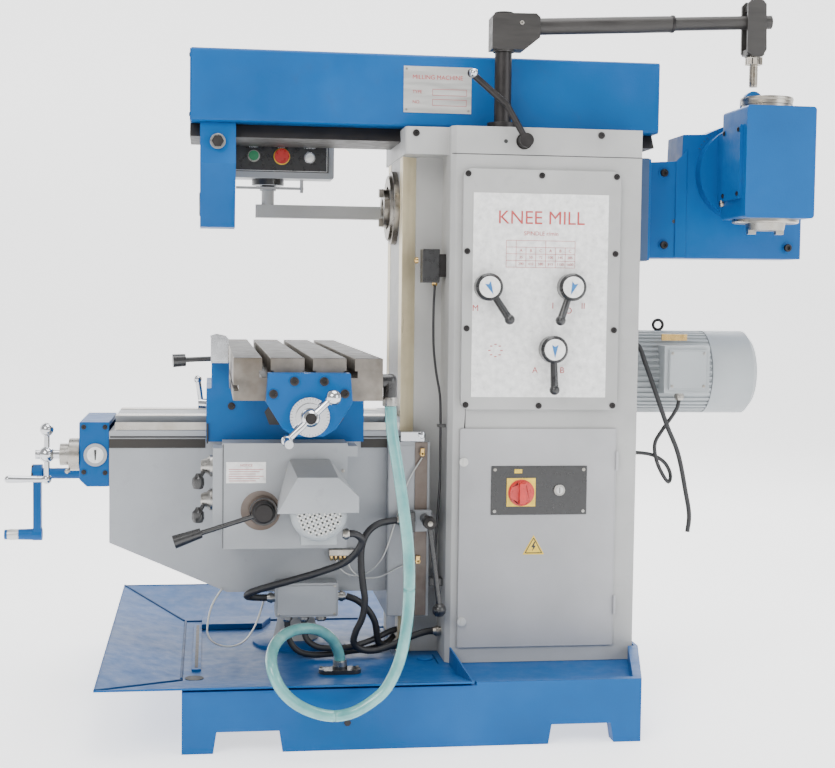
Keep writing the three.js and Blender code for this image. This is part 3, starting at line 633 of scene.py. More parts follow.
# ------------------------------------------------------------------ CAD nodes: edges and finishes
FINISH = {
    "base": ("blue", 3), "drip_tray": ("blue", 0), "column": ("warm", 4), "gear_cover": ("warm", 2),
    "cabinet_door": ("door", 1.2), "cabinet_backplate": ("gray", 1), "spindle_cap": ("spindle",
        1.5), "hoist_post": ("dark", 1),
    "head_bracket": ("blue", 2.5), "main_motor": ("motor", 2), "motor_cowl": ("motor",
        3), "screw_pedestal": ("warm", 1),
    "drain_flange": ("black", 0.8), "speed_lever_front": ("black", 1), "speed_lever_rear": ("black",
        1), "range_lever": ("black", 1),
    "main_switch_knob": ("red", 1.5), "door_lock_upper": ("face", 0.6), "door_lock_lower": ("face",
        0.6), "overarm": ("blue", 2.5),
    "overarm_dovetail": ("oil_dark_and_shade", 0.8), "arbor_support": ("blue", 3), "overarm_lever": ("dark", 0.6),
    "horizontal_spindle": ("spindle", 1), "pendant_arm": ("warm", 1.2), "pendant_box": ("gray",
        1.5), "start_button": ("green", 0.8),
    "stop_button": ("red", 1), "hoist_jib": ("tube", 1.5), "hoist_arm": ("tube",
        1), "hoist_screw": ("steel", 0.6),
    "vertical_head": ("blue", 2.5), "head_top_cap": ("steel", 1.2), "vertical_spindle": ("steel",
        1), "knee": ("gray", 2.5),
    "knee_front_cover": ("blue", 2), "cross_feed_crank": ("chrome", 0), "cross_feed_dial": ("steel", 1),
    "elevating_crank": ("blue", 1), "elevating_screw": ("steel", 0.5), "feed_gearbox": ("gray",
        2.5), "feed_motor": ("motor", 1.5),
    "feed_selector_upper": ("black", 0.4), "feed_selector_lower": ("black",
        0.4), "feed_direction_lever": ("black", 0.8),
    "knee_clamp_lever": ("black", 0.4), "junction_box": ("gray", 1.2), "saddle": ("blue",
        2), "table": ("iron", 1),
    "table_bracket_near": ("blue", 2), "table_bracket_far": ("blue", 2), "drain_elbow": ("black",
        0.6), "table_screw": ("steel", 0),
    "table_crank_near": ("chrome", 0), "table_crank_far": ("chrome", 0), "feed_trip_lever": ("black", 0.4),
    "table_lock_lever": ("chrome", 0),
}


def finish_nodes():
    for name, (mat, width) in FINISH.items():
        o = NODES[name]
        o.data.materials.clear()
        o.data.materials.append(MAT[mat])
        o.data.polygons.foreach_set("use_smooth", [True] * len(o.data.polygons))
        w = o.modifiers.new("weld", "WELD")
        w.merge_threshold = 1e-5
        if width:
            d = o.modifiers.new("flat", "DECIMATE")
            d.decimate_type = "DISSOLVE"
            d.angle_limit = math.radians(1)
            b = o.modifiers.new("edges", "BEVEL")
            b.width = width / 1000
            b.segments = 2
            b.limit_method = "ANGLE"
            b.angle_limit = math.radians(34)
            b.use_clamp_overlap = True
        s = o.modifiers.new("split", "EDGE_SPLIT")
        s.split_angle = math.radians(38)
        n = o.modifiers.new("normals", "WEIGHTED_NORMAL")
        n.keep_sharp = True


finish_nodes()


# ------------------------------------------------------------------ column details
def column_details():
    # ground way faces and scraped edges over the dovetail
    prism("way_side_near", [(0.2, -151), (37, -118.6), (37, -117.6), (0.2, -150)], "z", 112, 1356, "ways",
        "machine")
    prism("way_side_far", [(0.2, 151), (37, 118.6), (37, 117.6), (0.2, 150)], "z", 112, 1356, "ways",
        "machine")
    block("way_face_near", -0.6, 0.2, -150, -94.5, 112, 1356, "ways", "machine", 0)
    block("way_face_far", -0.6, 0.2, 94.5, 150, 112, 1356, "ways", "machine", 0)
    screws("cover_screw", "y", ((144, 1309), (326, 1308), (513, 1309), (144, 1122), (513, 1121), (145, 935),
        (513, 934), (145, 749), (327, 747), (513, 748)), -264, 7.5, 3.2, "dark", "machine")
    block("speed_plate", 158, 494, -265.4, -264.1, 768, 1264, "white", "machine", 0.3)
    socket_screw("column_screw_0", "y", 476, 1410, -250, 8.5, 3, "dark", "machine")
    socket_screw("column_screw_1", "y", 24, 1409, -205, 8.5, 3, "dark", "machine")
    # black disc for the oil hole: painted shade inside the hole
    disc("column_oil_hole", "y", 238, 1390, 5, -250.6, -249, "ink_and_recess_shade", "machine", 18, 0)
    # horizontal seam between the cap and the way housing
    block("cap_seam", 106, 579, -250.5, -249.6, 1356.6, 1358.4, "ink_and_recess_shade", "machine", 0)
    # limit switch and its nipple
    block("limit_switch", 45, 88, -196, -150, 1045, 1128, "black", "machine", 2)
    block("limit_bracket", 84, 104.6, -190, -160, 1060, 1116, "dark", "machine", 1)
    lathe("limit_nipple", "z", 77, -186, [(1036, 4), (1040, 7), (1046, 7), (1046, 4)], "brass", "machine",
        12)
    lathe("limit_plunger", "x", -170, 1100, [(28, 4), (31, 8), (37, 8)], "brass", "machine", 16)
    block("cable_clip_low", 72, 104, -204, -180, 292, 312, "black", "machine", 1.5)
    block("cable_clip_high", 84, 104, -222, -206, 690, 698, "black", "machine", 1)


def speed_plate_print():
    y = -265.7
    words("plate_title", "KNEE MILL", 326, 1204, y, 46, "ink_red", "machine")
    words("plate_title_2", "SPINDLE r/min", 326, 1167, y, 14, "ink_red", "machine")
    x0, x1, z0, z1, cols, rows = 240, 411, 1085, 1150, 7, 4
    for i in range(rows + 1):
        z = z0 + (z1 - z0) * i / rows
        block(f"grid_h{i}", x0, x1, y - 0.1, y + 0.3, z - 0.5, z + 0.5, "ink_red", "machine", 0)
    for i in range(cols + 1):
        x = x0 + (x1 - x0) * i / cols
        top_z = z1 if i in (0, 1, cols) or i == 4 else z1 - (z1 - z0) / rows
        block(f"grid_v{i}", x - 0.5, x + 0.5, y - 0.1, y + 0.3, z0, top_z, "ink_red", "machine", 0)
    values = [["35", "50", "72", "100", "145", "205"], ["290", "410", "580", "815", "1150", "1600"]]
    for c, letter in enumerate("ABCABC"):
        words(f"grid_letter_{c}", letter, x0 + (c + 1.5) * (x1 - x0) / cols, z0 + 2.5 * (z1 - z0) / rows, y,
            10, "ink_red", "machine")
    for r, row in enumerate(values):
        for c, text in enumerate(row):
            words(f"grid_value_{r}_{c}", text, x0 + (c + 1.5) * (x1 - x0) / cols,
                z0 + (1.5 - r) * (z1 - z0) / rows, y, 9, "ink_red", "machine")
    for text, x, z in (("M", 166, 984), ("I", 358, 992), ("O", 398, 980), ("II", 434, 992), ("A", 316, 834),
            ("B", 384, 834)):
        words("mark_" + text, text, x, z, y, 21, "ink_red", "machine")
    # small direction diagram
    for k in range(8):
        t = k * math.pi / 4
        block(f"diagram_{k}", 217 + 15 * math.cos(t) - 3, 217 + 15 * math.cos(t) + 3, y - 0.1, y + 0.3,
              882 + 15 * math.sin(t) - 1.2, 882 + 15 * math.sin(t) + 1.2, "ink_red", "machine", 0)
    for name, x, z, rot in (("speed_lever_front", 194, 1036, 0.45), ("speed_lever_rear", 400, 1038, -0.35),
            ("range_lever", 357, 886, 0.0)):
        lathe(name + "_ring", "y", x, z, [(-290, 33.5), (-298, 33.5), (-303, 29), (-303, 25)], "black",
            name, 40)
        disc(name + "_face", "y", x, z, 26, -303.6, -301, "white", name, 36, 0.3)
        tip = [(-8, 12), (0, 7), (8, 12), (0, -20)]
        pts = [(x + u * math.cos(rot) - v * math.sin(rot), z + u * math.sin(rot) + v * math.cos(rot)) for u,
            v in tip]
        prism(name + "_arrow", pts, "y", -304.4, -303.4, "ink_blue", name)


def door_details():
    block("switch_panel", 213, 454, -258.2, -256.1, 477, 598, "black", "door", 0.8)
    screws("panel_screw", "y", ((222, 589), (445, 589), (222, 486), (445, 486)), -258.2, 4, 1.6, "steel",
        "door")
    block("switch_square", 252, 324, -259.8, -258.1, 498, 568, "yellow", "door", 0.5)
    disc("switch_ring", "y", 288, 532, 33, -262, -259.7, "red", "door", 36, 0.5)
    disc("key_lock_ring", "y", 384, 538, 14, -263, -258.1, "steel", "door", 30, 0.8)
    disc("key_lock_core", "y", 384, 538, 9, -264.6, -262.9, "face", "door", 24, 0.3)
    # black bar for the key slot: painted shade inside the keyway
    block("key_slot", 383, 385, -265.2, -264.4, 531, 545, "ink_and_recess_shade", "door", 0)
    block("panel_mark", 271, 290, -258.8, -258.1, 580, 590, "yellow", "door", 0.2)
    tri = [(322 - 27, 378), (322 + 27, 378), (322, 426)]
    prism("warning_triangle", tri, "y", -256.9, -256.1, "yellow", "door")
    inner = [(322 - 21, 382), (322 + 21, 382), (322, 419)]
    for k in range(3):
        a, b = Vector(inner[k]), Vector(inner[(k + 1) % 3])
        d = (b - a).normalized()
        n = Vector((-d.y, d.x)) * 1.1
        prism(f"warning_edge_{k}", [tuple(a - n), tuple(b - n), tuple(b + n), tuple(a + n)], "y", -257.3,
            -256.8, "ink_and_recess_shade", "door")
    prism("warning_bolt", [(324, 410), (316, 396), (321, 396), (318, 385), (328, 400), (323, 400),
        (327, 410)], "y", -257.3, -256.8, "ink_and_recess_shade", "door")
    for side_x, a, b in (("left", 134.6, 137), ("right", 525, 527.4)):
        block(f"door_edge_{side_x}", a, b, -256.6, -255.9, 150, 688, "door", "door", 0.2)
    for z in (610, 250):
        block(f"door_hinge_{z}", 526.5, 532.5, -262, -256.2, z - 24, z + 24, "door", "door", 1)


column_details()
speed_plate_print()
door_details()


# ------------------------------------------------------------------ overarm, support, pendant
def overarm_details():
    block("overarm_plate", 0, 170, -141.5, -140.1, 1466, 1580, "face", "overarm", 0.3)
    for i, (x, z) in enumerate(((7, 1573), (163, 1573), (7, 1473), (163, 1473))):
        disc(f"plate_rivet_{i}", "y", x, z, 3, -142.4, -141.3, "steel", "overarm", 14, 0.2)
    words("overarm_plate_title", "MILLING MACHINE", 85, 1553, -141.8, 15, "ink_red", "overarm")
    words("overarm_plate_type", "TYPE", 34, 1517, -141.8, 11, "ink_red", "overarm")
    words("overarm_plate_no", "NO.", 32, 1492, -141.8, 11, "ink_red", "overarm")
    for i, z in enumerate((1517, 1492)):
        for k, (a, b, c, d) in enumerate(((72, 158, z + 7, z + 8), (72, 158, z - 8, z - 7),
                (72, 73, z - 8, z + 8), (157, 158, z - 8, z + 8))):
            block(f"plate_field_{i}_{k}", a, b, -141.9, -141.4, c, d, "ink_red", "overarm", 0)
    block("overarm_end_cover", -523, -520.2, -138, 138, 1434, 1606, "blue", "overarm", 0.5)
    screws("end_cover_screw", "x", ((-124, 1592), (124, 1592), (-124, 1448), (124, 1448)), -523, 5, 2,
        "dark", "overarm")
    disc("support_washer", "y", -455, 1383, 19, -141.5, -138, "steel", "arbor_support", 30, 0.8)
    prism("support_bolt", circle(-455, 1383, 15, 6), "y", -153, -141.4, "dark", "arbor_support", 1.2)
    disc("support_bush", "x", 0, 1237, 30, -500.5, -498, "steel", "arbor_support", 36, 0.5)
    disc("lever_boss", "y", 283, 1391, 20, -256, -250.2, "dark", "machine", 30, 0.8)
    lathe("lever_knob", "y", 150, 1546, [(-296, 2), (-294, 7), (-288, 10.5), (-280, 11), (-272, 9),
        (-268, 4)], "chrome", "overarm_lever", 24)


def pendant_details():
    cuts = [-422, -368.6, -349.4, -294.6, -275.4, -160]
    for k in range(5):
        a, b = cuts[k], cuts[k + 1]
        if k % 2 == 0:
            block(f"pendant_panel_{k}", a, b, 169.6, 172.2, 1337, 1413, "black", "pendant_box", 0)
        else:
            block(f"pendant_panel_{k}_low", a, b, 169.6, 172.2, 1337, 1368.4, "black", "pendant_box", 0)
            block(f"pendant_panel_{k}_high", a, b, 169.6, 172.2, 1387.6, 1413, "black", "pendant_box", 0)
    for k, (a, b, c, d) in enumerate(((-418, -164, 1409.4, 1410.6), (-418, -164, 1339.4, 1340.6),
            (-418, -416.8, 1340, 1410), (-165.2, -164, 1340, 1410))):
        block(f"pendant_border_{k}", a, b, 169.2, 169.8, c, d, "white", "pendant_box", 0)
    disc("lamp_ring", "y", -211, 1376, 15, 164, 169.8, "chrome", "pendant_box", 30, 0.5)
    lathe("lamp_lens", "y", -211, 1376, [(156, 1), (157, 7), (160, 11), (165, 12)], "lamp", "pendant_box",
        30)
    ring("stop_ring", "y", -285, 1378, 10, 22, 169.1, 169.8, "yellow", "pendant_box")
    ring("start_ring", "y", -359, 1378, 10, 16, 169.1, 169.8, "steel", "pendant_box")
    for i, (t, x) in enumerate((("START", -359), ("STOP", -285), ("POWER", -211))):
        words(f"pendant_text_{i}", t, x, 1403, 169.4, 9, "white", "pendant_box")
    block("pendant_rail", -405, -224, 205, 213, 1293, 1300, "chrome", "pendant_box", 1)
    ring("pendant_disc", "z", -319, 230, 42.2, 43.5, 1305, 1321, "black", "pendant_box", 40)
    block("pendant_rail_stay", -335, -303, 206, 226, 1301, 1304.8, "dark", "pendant_box", 0.5)
    block("pendant_hook", -234, -225, 204, 212, 1285, 1320, "chrome", "pendant_box", 1)


overarm_details()
pendant_details()


# ------------------------------------------------------------------ hoist and vertical head
def hoist_details():
    socket_screw("jib_screw", "y", 280, 1682, -217, 5, 2.5, "steel", "jib")
    disc("jib_cap", "z", 240, -190, 24, 1705, 1709, "dark", "jib", 30, 1)
    disc("jib_collar", "x", -190, 1697.5, 22, 664, 671, "dark", "jib", 30, 1)
    prism("shackle_nut_top", circle(882, -190, 20, 6), "z", 1604, 1620, "dark", "jib_tube", 1)
    for k in range(13):
        z = 1552 + k * 3.6
        lathe(f"screw_thread_{k}", "z", *HOIST_SCREW, [(z, 10), (z + 1, 11.2), (z + 2, 11.2), (z + 3, 10)],
            "steel", "hoist_screw", 20)


def head_details():
    prism("bracket_web_fillet", [(722, 1369), (752, 1400), (752, 1120), (722, 1120)], "y", -79, -75.2,
        "blue", "machine", 2)
    block("bracket_rib_left", 634.5, 650, -82, -75.2, 1122, 1368, "blue", "machine", 3)
    for i, (x, z) in enumerate(((690, 1338), (693, 1152), (1029, 1150))):
        disc(f"bracket_washer_{i}", "y", x, z, 14, -77.5, -75.1, "blue", "machine", 26, 0.5)
        socket_screw(f"bracket_bolt_{i}", "y", x, z, -77.5, 10, 8, "dark", "machine")
    # black disc for the bracket hole: painted shade inside the hole
    disc("bracket_hole", "y", 720, 1214, 5, -75.6, -74.5, "ink_and_recess_shade", "machine", 18, 0)
    block("hanger_plate", 580.5, 634, -132, 132, 1108.5, 1369.5, "navy", "machine", 1)
    screws("head_cover_screw", "x", ((-308, 1428), (-207, 1428), (-308, 1272), (-207, 1272)), 804, 6, 3,
        "dark", "head", -1)
    socket_screw("head_side_plug", "x", -185, 1255, 812, 9, 8, "steel", "head", -1)
    for k in range(-12, 13):
        t = math.radians(90 + k * 5)
        long_mark = k % 3 == 0
        shape = scale_mark(*TILT_CENTRE, t, TILT_RADIUS - (8 if long_mark else 5), TILT_RADIUS, 0.5)
        prism(f"tilt_mark_{k + 12}", shape, "y", -75.9, -74.9, "ink_and_recess_shade", "machine")
    lathe("head_cap_rim", "z", 896, -250, [(1504, 64.2), (1507, 65), (1510, 65), (1513.3, 61)], "steel",
        "head", 48)
    lathe("head_nose_ring", "z", *HEAD_SPINDLE, [(1213.2, 82), (1206, 82), (1203, 78), (1203, 60)], "steel",
        "head", 48)


hoist_details()
head_details()


# ------------------------------------------------------------------ main motor
def motor_details():
    n = 44
    verts, faces = [], []
    r0, r1 = 97, 109
    profile = []
    for i in range(n):
        for k, rr in ((0.0, r0), (0.42, r0), (0.5, r1), (0.92, r1)):
            t = 2 * math.pi * (i + k) / n
            profile.append((rr * math.cos(t), 820 + rr * math.sin(t)))
    for x in (612, 822):
        verts += [at(x, u, v) for u, v in profile]
    m = len(profile)
    faces = [[i, (i + 1) % m, (i + 1) % m + m, i + m] for i in range(m)]
    faces += [list(range(m)), list(range(2 * m - 1, m - 1, -1))]
    me = bpy.data.meshes.new("motor_fins")
    me.from_pydata([tuple(v) for v in verts], [], faces)
    link("motor_fins", me, "motor", "machine", False, 0.6)
    lathe("motor_end_bell", "x", *MAIN_MOTOR, [(588, 118), (600, 118), (606, 108), (616, 106), (616, 90)],
        "motor", "machine", 44)
    block("terminal_lid", 692, 788, -160, -158.2, 784, 880, "motor", "machine", 1.5)
    screws("terminal_screw", "y", ((698, 874), (782, 874), (698, 790), (782, 790)), -160, 4, 2, "steel",
        "machine")
    block("motor_nameplate", 684, 752, -108.5, -104, 905, 922, "brass", "machine", 0.4)
    bpy.ops.mesh.primitive_torus_add(major_radius=0.013, minor_radius=0.004, location=at(706, 0, 944),
        rotation=(math.pi / 2, 0, 0))
    eye = bpy.context.object
    eye.name = "motor_eyebolt"
    eye.data.materials.append(MAT["dark"])
    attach(eye, "machine")
    disc("motor_eye_foot", "z", 706, 0, 9, 922, 932, "dark", "machine", 20, 0.5)
    for k in range(4):
        t = math.pi / 4 + k * math.pi / 2
        socket_screw(f"motor_flange_bolt_{k}", "x", 112 * math.cos(t), 820 + 112 * math.sin(t), 600, 8, 8,
            "dark", "machine", 1)


motor_details()


# ------------------------------------------------------------------ knee, saddle, table
def knee_details():
    y = -150.6
    block("knee_way_light_near", -700, -2, y - 0.9, y + 1, 677.5, 696, "waybar", "knee", 0)
    block("knee_way_top_near", -700, -32, -131, -70, 710.1, 711, "waybar", "knee", 0)
    block("knee_way_top_far", -700, -32, 70, 131, 710.1, 711, "waybar", "knee", 0)
    # the black groove line is painted shade in the groove; the dark bands below it are painted shade under
    # the way's lower edge
    block("knee_way_groove", -712, -2, y - 0.6, y + 0.5, 658, 662, "ink_and_recess_shade", "knee", 0)
    block("knee_way_shade_band_front", -714, -482, y - 1.2, y + 0.5, 633, 655, "oil_dark_and_shade", "knee", 0)
    block("knee_way_shade_band_rear", -98, -33, y - 1.2, y + 0.5, 633, 655, "oil_dark_and_shade", "knee", 0)
    block("knee_gib", 35, 66, -178.5, -175.8, 213, 649, "rustplate", "knee", 0.6)
    block("knee_cover_rear", -30, 33, -178, -175.8, 214, 640, "gray", "knee", 1)
    block("knee_wiper", -2, 59, -182, -150.5, 651, 676, "chrome", "knee", 2)
    lathe("wiper_fitting", "y", 50, 668, [(-190, 3), (-187, 9), (-182, 9)], "chrome", "knee", 18)
    for i, (x, z) in enumerate(((52, 621), (44, 352))):
        lathe(f"lube_fitting_{i}", "y", x, z, [(-190, 3), (-188, 7), (-178, 7)], "brass", "knee", 6)
        block(f"lube_elbow_{i}", x - 5, x + 5, -190, -182, z - 6, z + 14, "brass", "knee", 1)
    block("lube_manifold", -176, -112, -168, -150.4, 364, 380, "steel", "knee", 1)
    for i, x in enumerate((-170, -159, -148, -137, -126)):
        lathe(f"lube_nut_{i}", "z", x, -162, [(352, 3), (354, 4.5), (364, 4.5)], "brass", "knee", 6)
    block("clamp_coil", 2, 32, -220, -182, 430, 480, "black", "knee", 2)
    lathe("clamp_hub", "y", *KNEE_CLAMP, [(-294, 6), (-291, 15), (-268, 16), (-262, 12)], "dark",
        "knee_clamp_lever", 28)
    lathe("clamp_rod", "y", *KNEE_CLAMP, [(-297, 2), (-296, 6), (-292, 7)], "steel", "knee_clamp_lever", 20)
    screws("box_screw", "y", ((-302, 296), (-165, 296), (-302, 228), (-165, 228)), -210, 3.6, 1.5, "steel",
        "knee")
    screws("knee_plate_screw", "y", ((-775, 684), (-724, 684), (-775, 574), (-724, 572)), -148, 6, 3,
        "dark", "knee")
    disc("oil_sight_ring", "y", -747, 616, 28, -153, -148.1, "gray", "knee", 36, 1)
    disc("oil_sight_face", "y", -747, 616, 20, -154.2, -152.8, "white", "knee", 30, 0.2)
    prism("oil_sight_needle", [(-748.5, 604), (-745.5, 604), (-744, 629), (-750, 629)], "y", -154.8, -154,
        "ink_and_recess_shade", "knee")
    lathe("dial_lock_screw", "y", -815, 575, [(-140, 3), (-138, 6), (-128, 6), (-126, 4), (-118, 4)],
        "steel", "cross_crank", 20)
    # feed gearbox face
    block("gearbox_seam", -441, -439.2, -331, -329.6, 414, 660, "ink_and_recess_shade", "knee", 0)
    block("gearbox_plate", -433, -340, -331.4, -330.1, 568, 618, "white", "knee", 0.2)
    words("gearbox_plate_title", "NOTICE", -386, 610, -331.7, 8, "ink_red", "knee")
    for k in range(6):
        block(f"gearbox_plate_line_{k}", -427, -346 - (k % 3) * 9, -331.8, -331.3, 600 - k * 5.4,
            601.2 - k * 5.4, "ink_red", "knee", 0)
    disc("direction_wear", "y", -352, 503, 47, -330.9, -329.8, "rustplate", "knee", 40, 0.2)
    lathe("direction_hub", "y", *DIRECTION_HUB, [(-331, 36), (-340, 35), (-346, 32), (-353, 29)],
        "rustplate", "feed_direction_lever", 44)
    lathe("direction_boss", "y", *DIRECTION_HUB, [(-352, 28), (-362, 28), (-378, 25), (-384, 20)], "dark",
        "feed_direction_lever", 36)
    motor_hood()
    screws("guard_screw", "y", ((-234, 617), (-291, 600), (-160, 598)), -345.4, 4, 2, "steel", "knee")
    # fan grille
    lathe("feed_cowl_rim", "y", *FEED_MOTOR, [(-427, 66), (-436, 65), (-442, 60), (-445, 54), (-445, 50)],
        "motor", "knee", 48)
    for k in range(-4, 5):
        half = math.sqrt(max(0, 51 ** 2 - (k * 11) ** 2))
        c, s = math.cos(0.35), math.sin(0.35)
        for tag, (dx, dz) in (("a", (c, s)), ("b", (-s, c))):
            px, pz = -dz * k * 11, dx * k * 11
            a = (-222 + px - dx * half, 511 + pz - dz * half)
            b = (-222 + px + dx * half, 511 + pz + dz * half)
            nx, nz = -dz * 2.4, dx * 2.4
            prism(f"grille_{tag}{k + 4}", [(a[0] - nx, a[1] - nz), (b[0] - nx, b[1] - nz),
                (b[0] + nx, b[1] + nz), (a[0] + nx, a[1] + nz)],
                  "y", -445.4, -442.6, "face", "knee")
    # black disc behind the grille: painted shade inside the fan cowl
    disc("grille_back", "y", *FEED_MOTOR, 52, -441, -440.2, "ink_and_recess_shade", "knee", 36, 0)
    for z, tag in ((605, "upper"), (525, "lower")):
        lathe(f"selector_boss_{tag}", "x", -292, z, [(-464.2, 26), (-470, 26), (-478, 18), (-488, 16),
            (-492, 12)], "steel", f"feed_selector_{tag}", 32)
        lathe(f"selector_knob_{tag}", "z", -498, -308, [(z - 54, 3), (z - 52, 11), (z - 42, 15),
            (z - 28, 14), (z - 22, 8), (z - 16, 5)], "black", f"feed_selector_{tag}", 24)


def motor_hood():
    """Folded sheet hood over the feed motor, open below."""
    front = [(-317, 512), (-272, 594), (-180, 594), (-133, 550), (-133, 514)]
    back = [(-311, 526), (-285, 622), (-191, 622), (-124, 535), (-123, 500)]
    verts = [at(x, -452, z) for x, z in front] + [at(x, -345.3, z) for x, z in back]
    faces = [[0, 1, 2, 3, 4]] + [[i, i + 5, i + 6, i + 1] for i in range(4)]
    me = bpy.data.meshes.new("motor_hood")
    me.from_pydata([tuple(v) for v in verts], [], faces)
    o = link("motor_hood", me, "gray", "knee")
    t = o.modifiers.new("sheet", "SOLIDIFY")
    t.thickness = 0.002
    t.offset = -1
    e = o.modifiers.new("edges", "BEVEL")
    e.width = 0.0012
    e.segments = 2


def saddle_table_details():
    # black flat shapes over the saddle pockets: painted shade inside the pockets
    pockets = ([(-341, 728), (-325, 748), (-300, 748), (-288, 697), (-329, 697)],
        [(-179, 697), (-160, 697), (-149, 712), (-149, 735), (-172, 740)])
    for i, shape in enumerate(pockets):
        prism(f"saddle_pocket_{i}", shape, "y", -230.8, -229.6, "ink_and_recess_shade", "saddle")
    for tag, yy in (("near", -737.4), ("far", 737.4)):
        disc("screw_end_" + tag, "y", *TABLE_SCREW, 11.5, yy - 0.5, yy + 0.5, "dark", "table_feed", 28, 0.2)
    for i, (x, z) in enumerate(((-295, 829), (-232, 829), (-339, 802), (-188, 803))):
        socket_screw(f"end_screw_{i}", "y", x, z, -690, 9.5, 5, "dark", "table")
        socket_screw(f"end_screw_far_{i}", "y", x, z, 690, 9.5, 5, "dark", "table", 1)
    for k in range(40):
        t = 2 * math.pi * k / 40
        l = 6 if k % 5 == 0 else 3.5
        for body, yy, tag in (("table_feed", -702.3, "n"), ("table_feed", 702.3, "f")):
            shape = scale_mark(*TABLE_SCREW, t, 41 - l, 41, 0.35)
            prism(f"dial_mark_{tag}{k}", shape, "y", yy - 0.3, yy + 0.3, "ink_and_recess_shade", body)
    block("chip_guard", -470, -428, -262, -259, 850, 905, "chrome", "saddle", 1)
    block("chip_guard_foot", -470, -428, -262, -229, 847, 850, "chrome", "saddle", 1)
    prism("chip_guard_curve", [(-470, 905), (-428, 905), (-434, 912), (-458, 917), (-472, 912)], "y", -262,
        -240, "chrome", "saddle", 0.5)
    block("saddle_wiper_near", -479, -475, -236, -229.8, 652, 700, "rubber", "saddle", 0.5)
    block("table_gib_left", -334, -323, -652.5, -650.2, 786, 810, "dark", "table", 0.3)
    block("table_gib_right", -201, -191, -652.5, -650.2, 786, 810, "dark", "table", 0.3)
    # near-black sheets on the T-slot floors: painted shade deep in the slots
    for i, c in enumerate((-352.5, -262.5, -172.5)):
        block(f"slot_floor_shade_{i}", c - 8.8, c + 8.8, -649, 649, 834.3, 835, "oil_dark_and_shade", "table", 0)
    for i, (a, b) in enumerate(((-422, -362), (-343, -272), (-253, -182), (-163, -103))):
        block(f"table_top_skin_{i}", a + 0.6, b - 0.6, -649.5, 649.5, 875.9, 876.5, "oil_dark_and_shade", "table", 0)
    screws("saddle_plug", "y", ((-420, 742), (-150, 742)), -230, 9, 4, "dark", "saddle")
    lathe("drain_ferrule", "z", -81, -600, [(790, 16), (784, 16.5), (772, 16.5), (770, 14)], "steel",
        "table", 24)
    lathe("drain_ferrule_base", "z", -161, -327, [(122, 16), (128, 17), (140, 16.5), (142, 14)], "steel",
        "machine", 24)
    disc("elevating_nut", "x", 130, 538, 26, -930, -925, "dark", "elevating_crank", 6, 1)
    lathe("elevating_grip", "x", 130, 378, [(-1000, 6), (-999, 12), (-985, 14.5), (-950, 13.5), (-934, 12),
        (-930, 8)], "face", "elevating_crank", 28)


def base_details():
    disc("base_plug", "y", -165, 62, 8, -580, -576.5, "dark", "machine", 6, 0.6)
    block("tray_slot_rail", -512, -490, -285, 205, 111.2, 116, "blue", "machine", 1)
    # black strip along the rail slot: painted shade inside the slot
    block("tray_slot_gap", -505, -497, -270, 190, 116, 116.6, "ink_and_recess_shade", "machine", 0)
    prism("tray_inner_step", [(-490, 157), (-490, 252), (-304, 252), (-304, 240), (-330, 157)], "z", 111.2,
        126, "blue", "machine", 2)
    # thin darker-blue tubes along the hopper creases: painted shade in the creases, not welds
    creases = [[(-717, -588, 150), (-535, -369, 111.5)], [(-717, 588, 150), (-535, 258, 111.5)],
        [(-535, -369, 111.5), (-535, 258, 111.5)],
               [(-535, 258, 111.5), (-60, 258, 111.5)]]
    for i, (a, b) in enumerate(creases):
        o, _, _ = tube(f"tray_crease_shade_{i}", [at(*a), at(*b)], 0.0035, "crease_shade", 10, 0.02)
        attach(o, "machine")
    # black disc for the tray drain: painted shade inside the drain hole
    disc("tray_drain", "z", -505, -350, 22, 111.1, 112.2, "ink_and_recess_shade", "machine", 30, 0)
    disc("tray_ring", "z", -170, -60, 46, 111.1, 121, "blue", "machine", 36, 1)
    lathe("pedestal_foot", "z", -247, 0, [(111.2, 112), (118, 112), (124, 100), (126, 60)], "blue",
        "machine", 48)
    screws("flange_screw", "z", ((-205, -312), (-118, -342), (-205, -342), (-118, -312)), 121, 4, 2,
        "steel", "machine", 1)
    disc("rear_deck_ring", "z", 60, -215, 20, 111, 116, "blue", "machine", 30, 1)


knee_details()
saddle_table_details()
base_details()


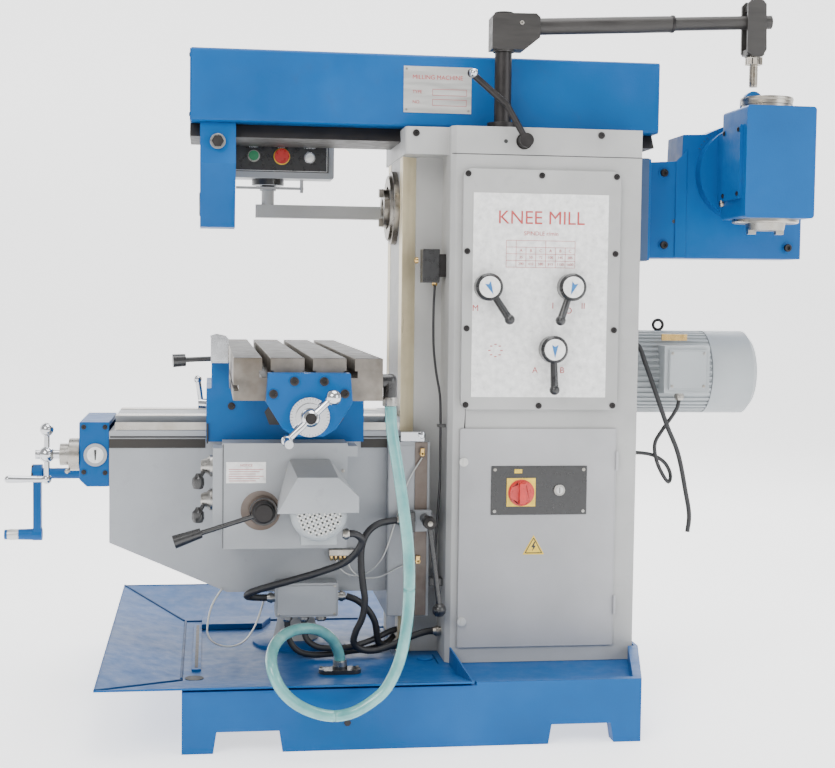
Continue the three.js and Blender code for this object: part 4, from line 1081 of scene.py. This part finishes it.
# ------------------------------------------------------------------ stage
def stage():
    me = bpy.data.meshes.new("floor")
    s = 40
    n = 14
    rows = [(-30.0, 0.0), (5.0, 0.0)]
    for k in range(1, n + 1):
        t = math.pi / 2 * k / n
        rows.append((5.0 + 2.5 * math.sin(t), 2.5 - 2.5 * math.cos(t)))
    rows.append((7.5, 9.0))
    verts = [(x, y, z) for y, z in rows for x in (-s, s)]
    faces = [[2 * i, 2 * i + 1, 2 * i + 3, 2 * i + 2] for i in range(len(rows) - 1)]
    me.from_pydata(verts, [], faces)
    me.polygons.foreach_set("use_smooth", [True] * len(me.polygons))
    floor = bpy.data.objects.new("floor", me)
    bpy.context.scene.collection.objects.link(floor)
    m, nt, b = node_tree("studio_floor")
    n1 = noise(nt, 1.5, 3, 0.5)
    c = ramp(nt, n1.outputs["Fac"], [(0.3, grey(0.90)), (0.7, grey(0.93))])
    nt.links.new(c.outputs["Color"], b.inputs["Base Color"])
    b.inputs["Roughness"].default_value = 0.7
    b.inputs["Emission Color"].default_value = (1, 1, 1, 1)
    b.inputs["Emission Strength"].default_value = 1.3
    me.materials.append(m)
    floor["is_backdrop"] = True
    world = bpy.data.worlds.new("studio")
    bpy.context.scene.world = world
    world.use_nodes = True
    bg = world.node_tree.nodes["Background"]
    bg.inputs["Color"].default_value = (1.0, 1.0, 1.0, 1)
    bg.inputs["Strength"].default_value = 0.62
    for name, loc, size, power, tint in (("key", (-3.6, -4.6, 4.6), 3.2, 250, (1, 0.985, 0.96)),
            ("fill", (4.2, -3.8, 2.6), 3.5, 150, (0.95, 0.98, 1)),
                                         ("top", (0.3, -0.4, 4.8), 3.0, 170, (1, 1, 1)), ("back",
                                             (1.5, 3.4, 3.6), 3.0, 130, (1, 1, 1))):
        d = bpy.data.lights.new(name, "AREA")
        d.energy = power
        d.size = size
        d.color = tint
        o = bpy.data.objects.new(name, d)
        bpy.context.scene.collection.objects.link(o)
        o.location = loc
        o.rotation_euler = (Vector((0, 0, 0.8)) - Vector(loc)).to_track_quat("-Z", "Y").to_euler()
        o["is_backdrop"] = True


stage()


def plain(v):
    if isinstance(v, dict):
        return {k: plain(x) for k, x in v.items()}
    if isinstance(v, (int, float, str)) or v is None:
        return v
    return [plain(x) for x in v]


{"start": plain(START), "end": plain(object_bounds())}
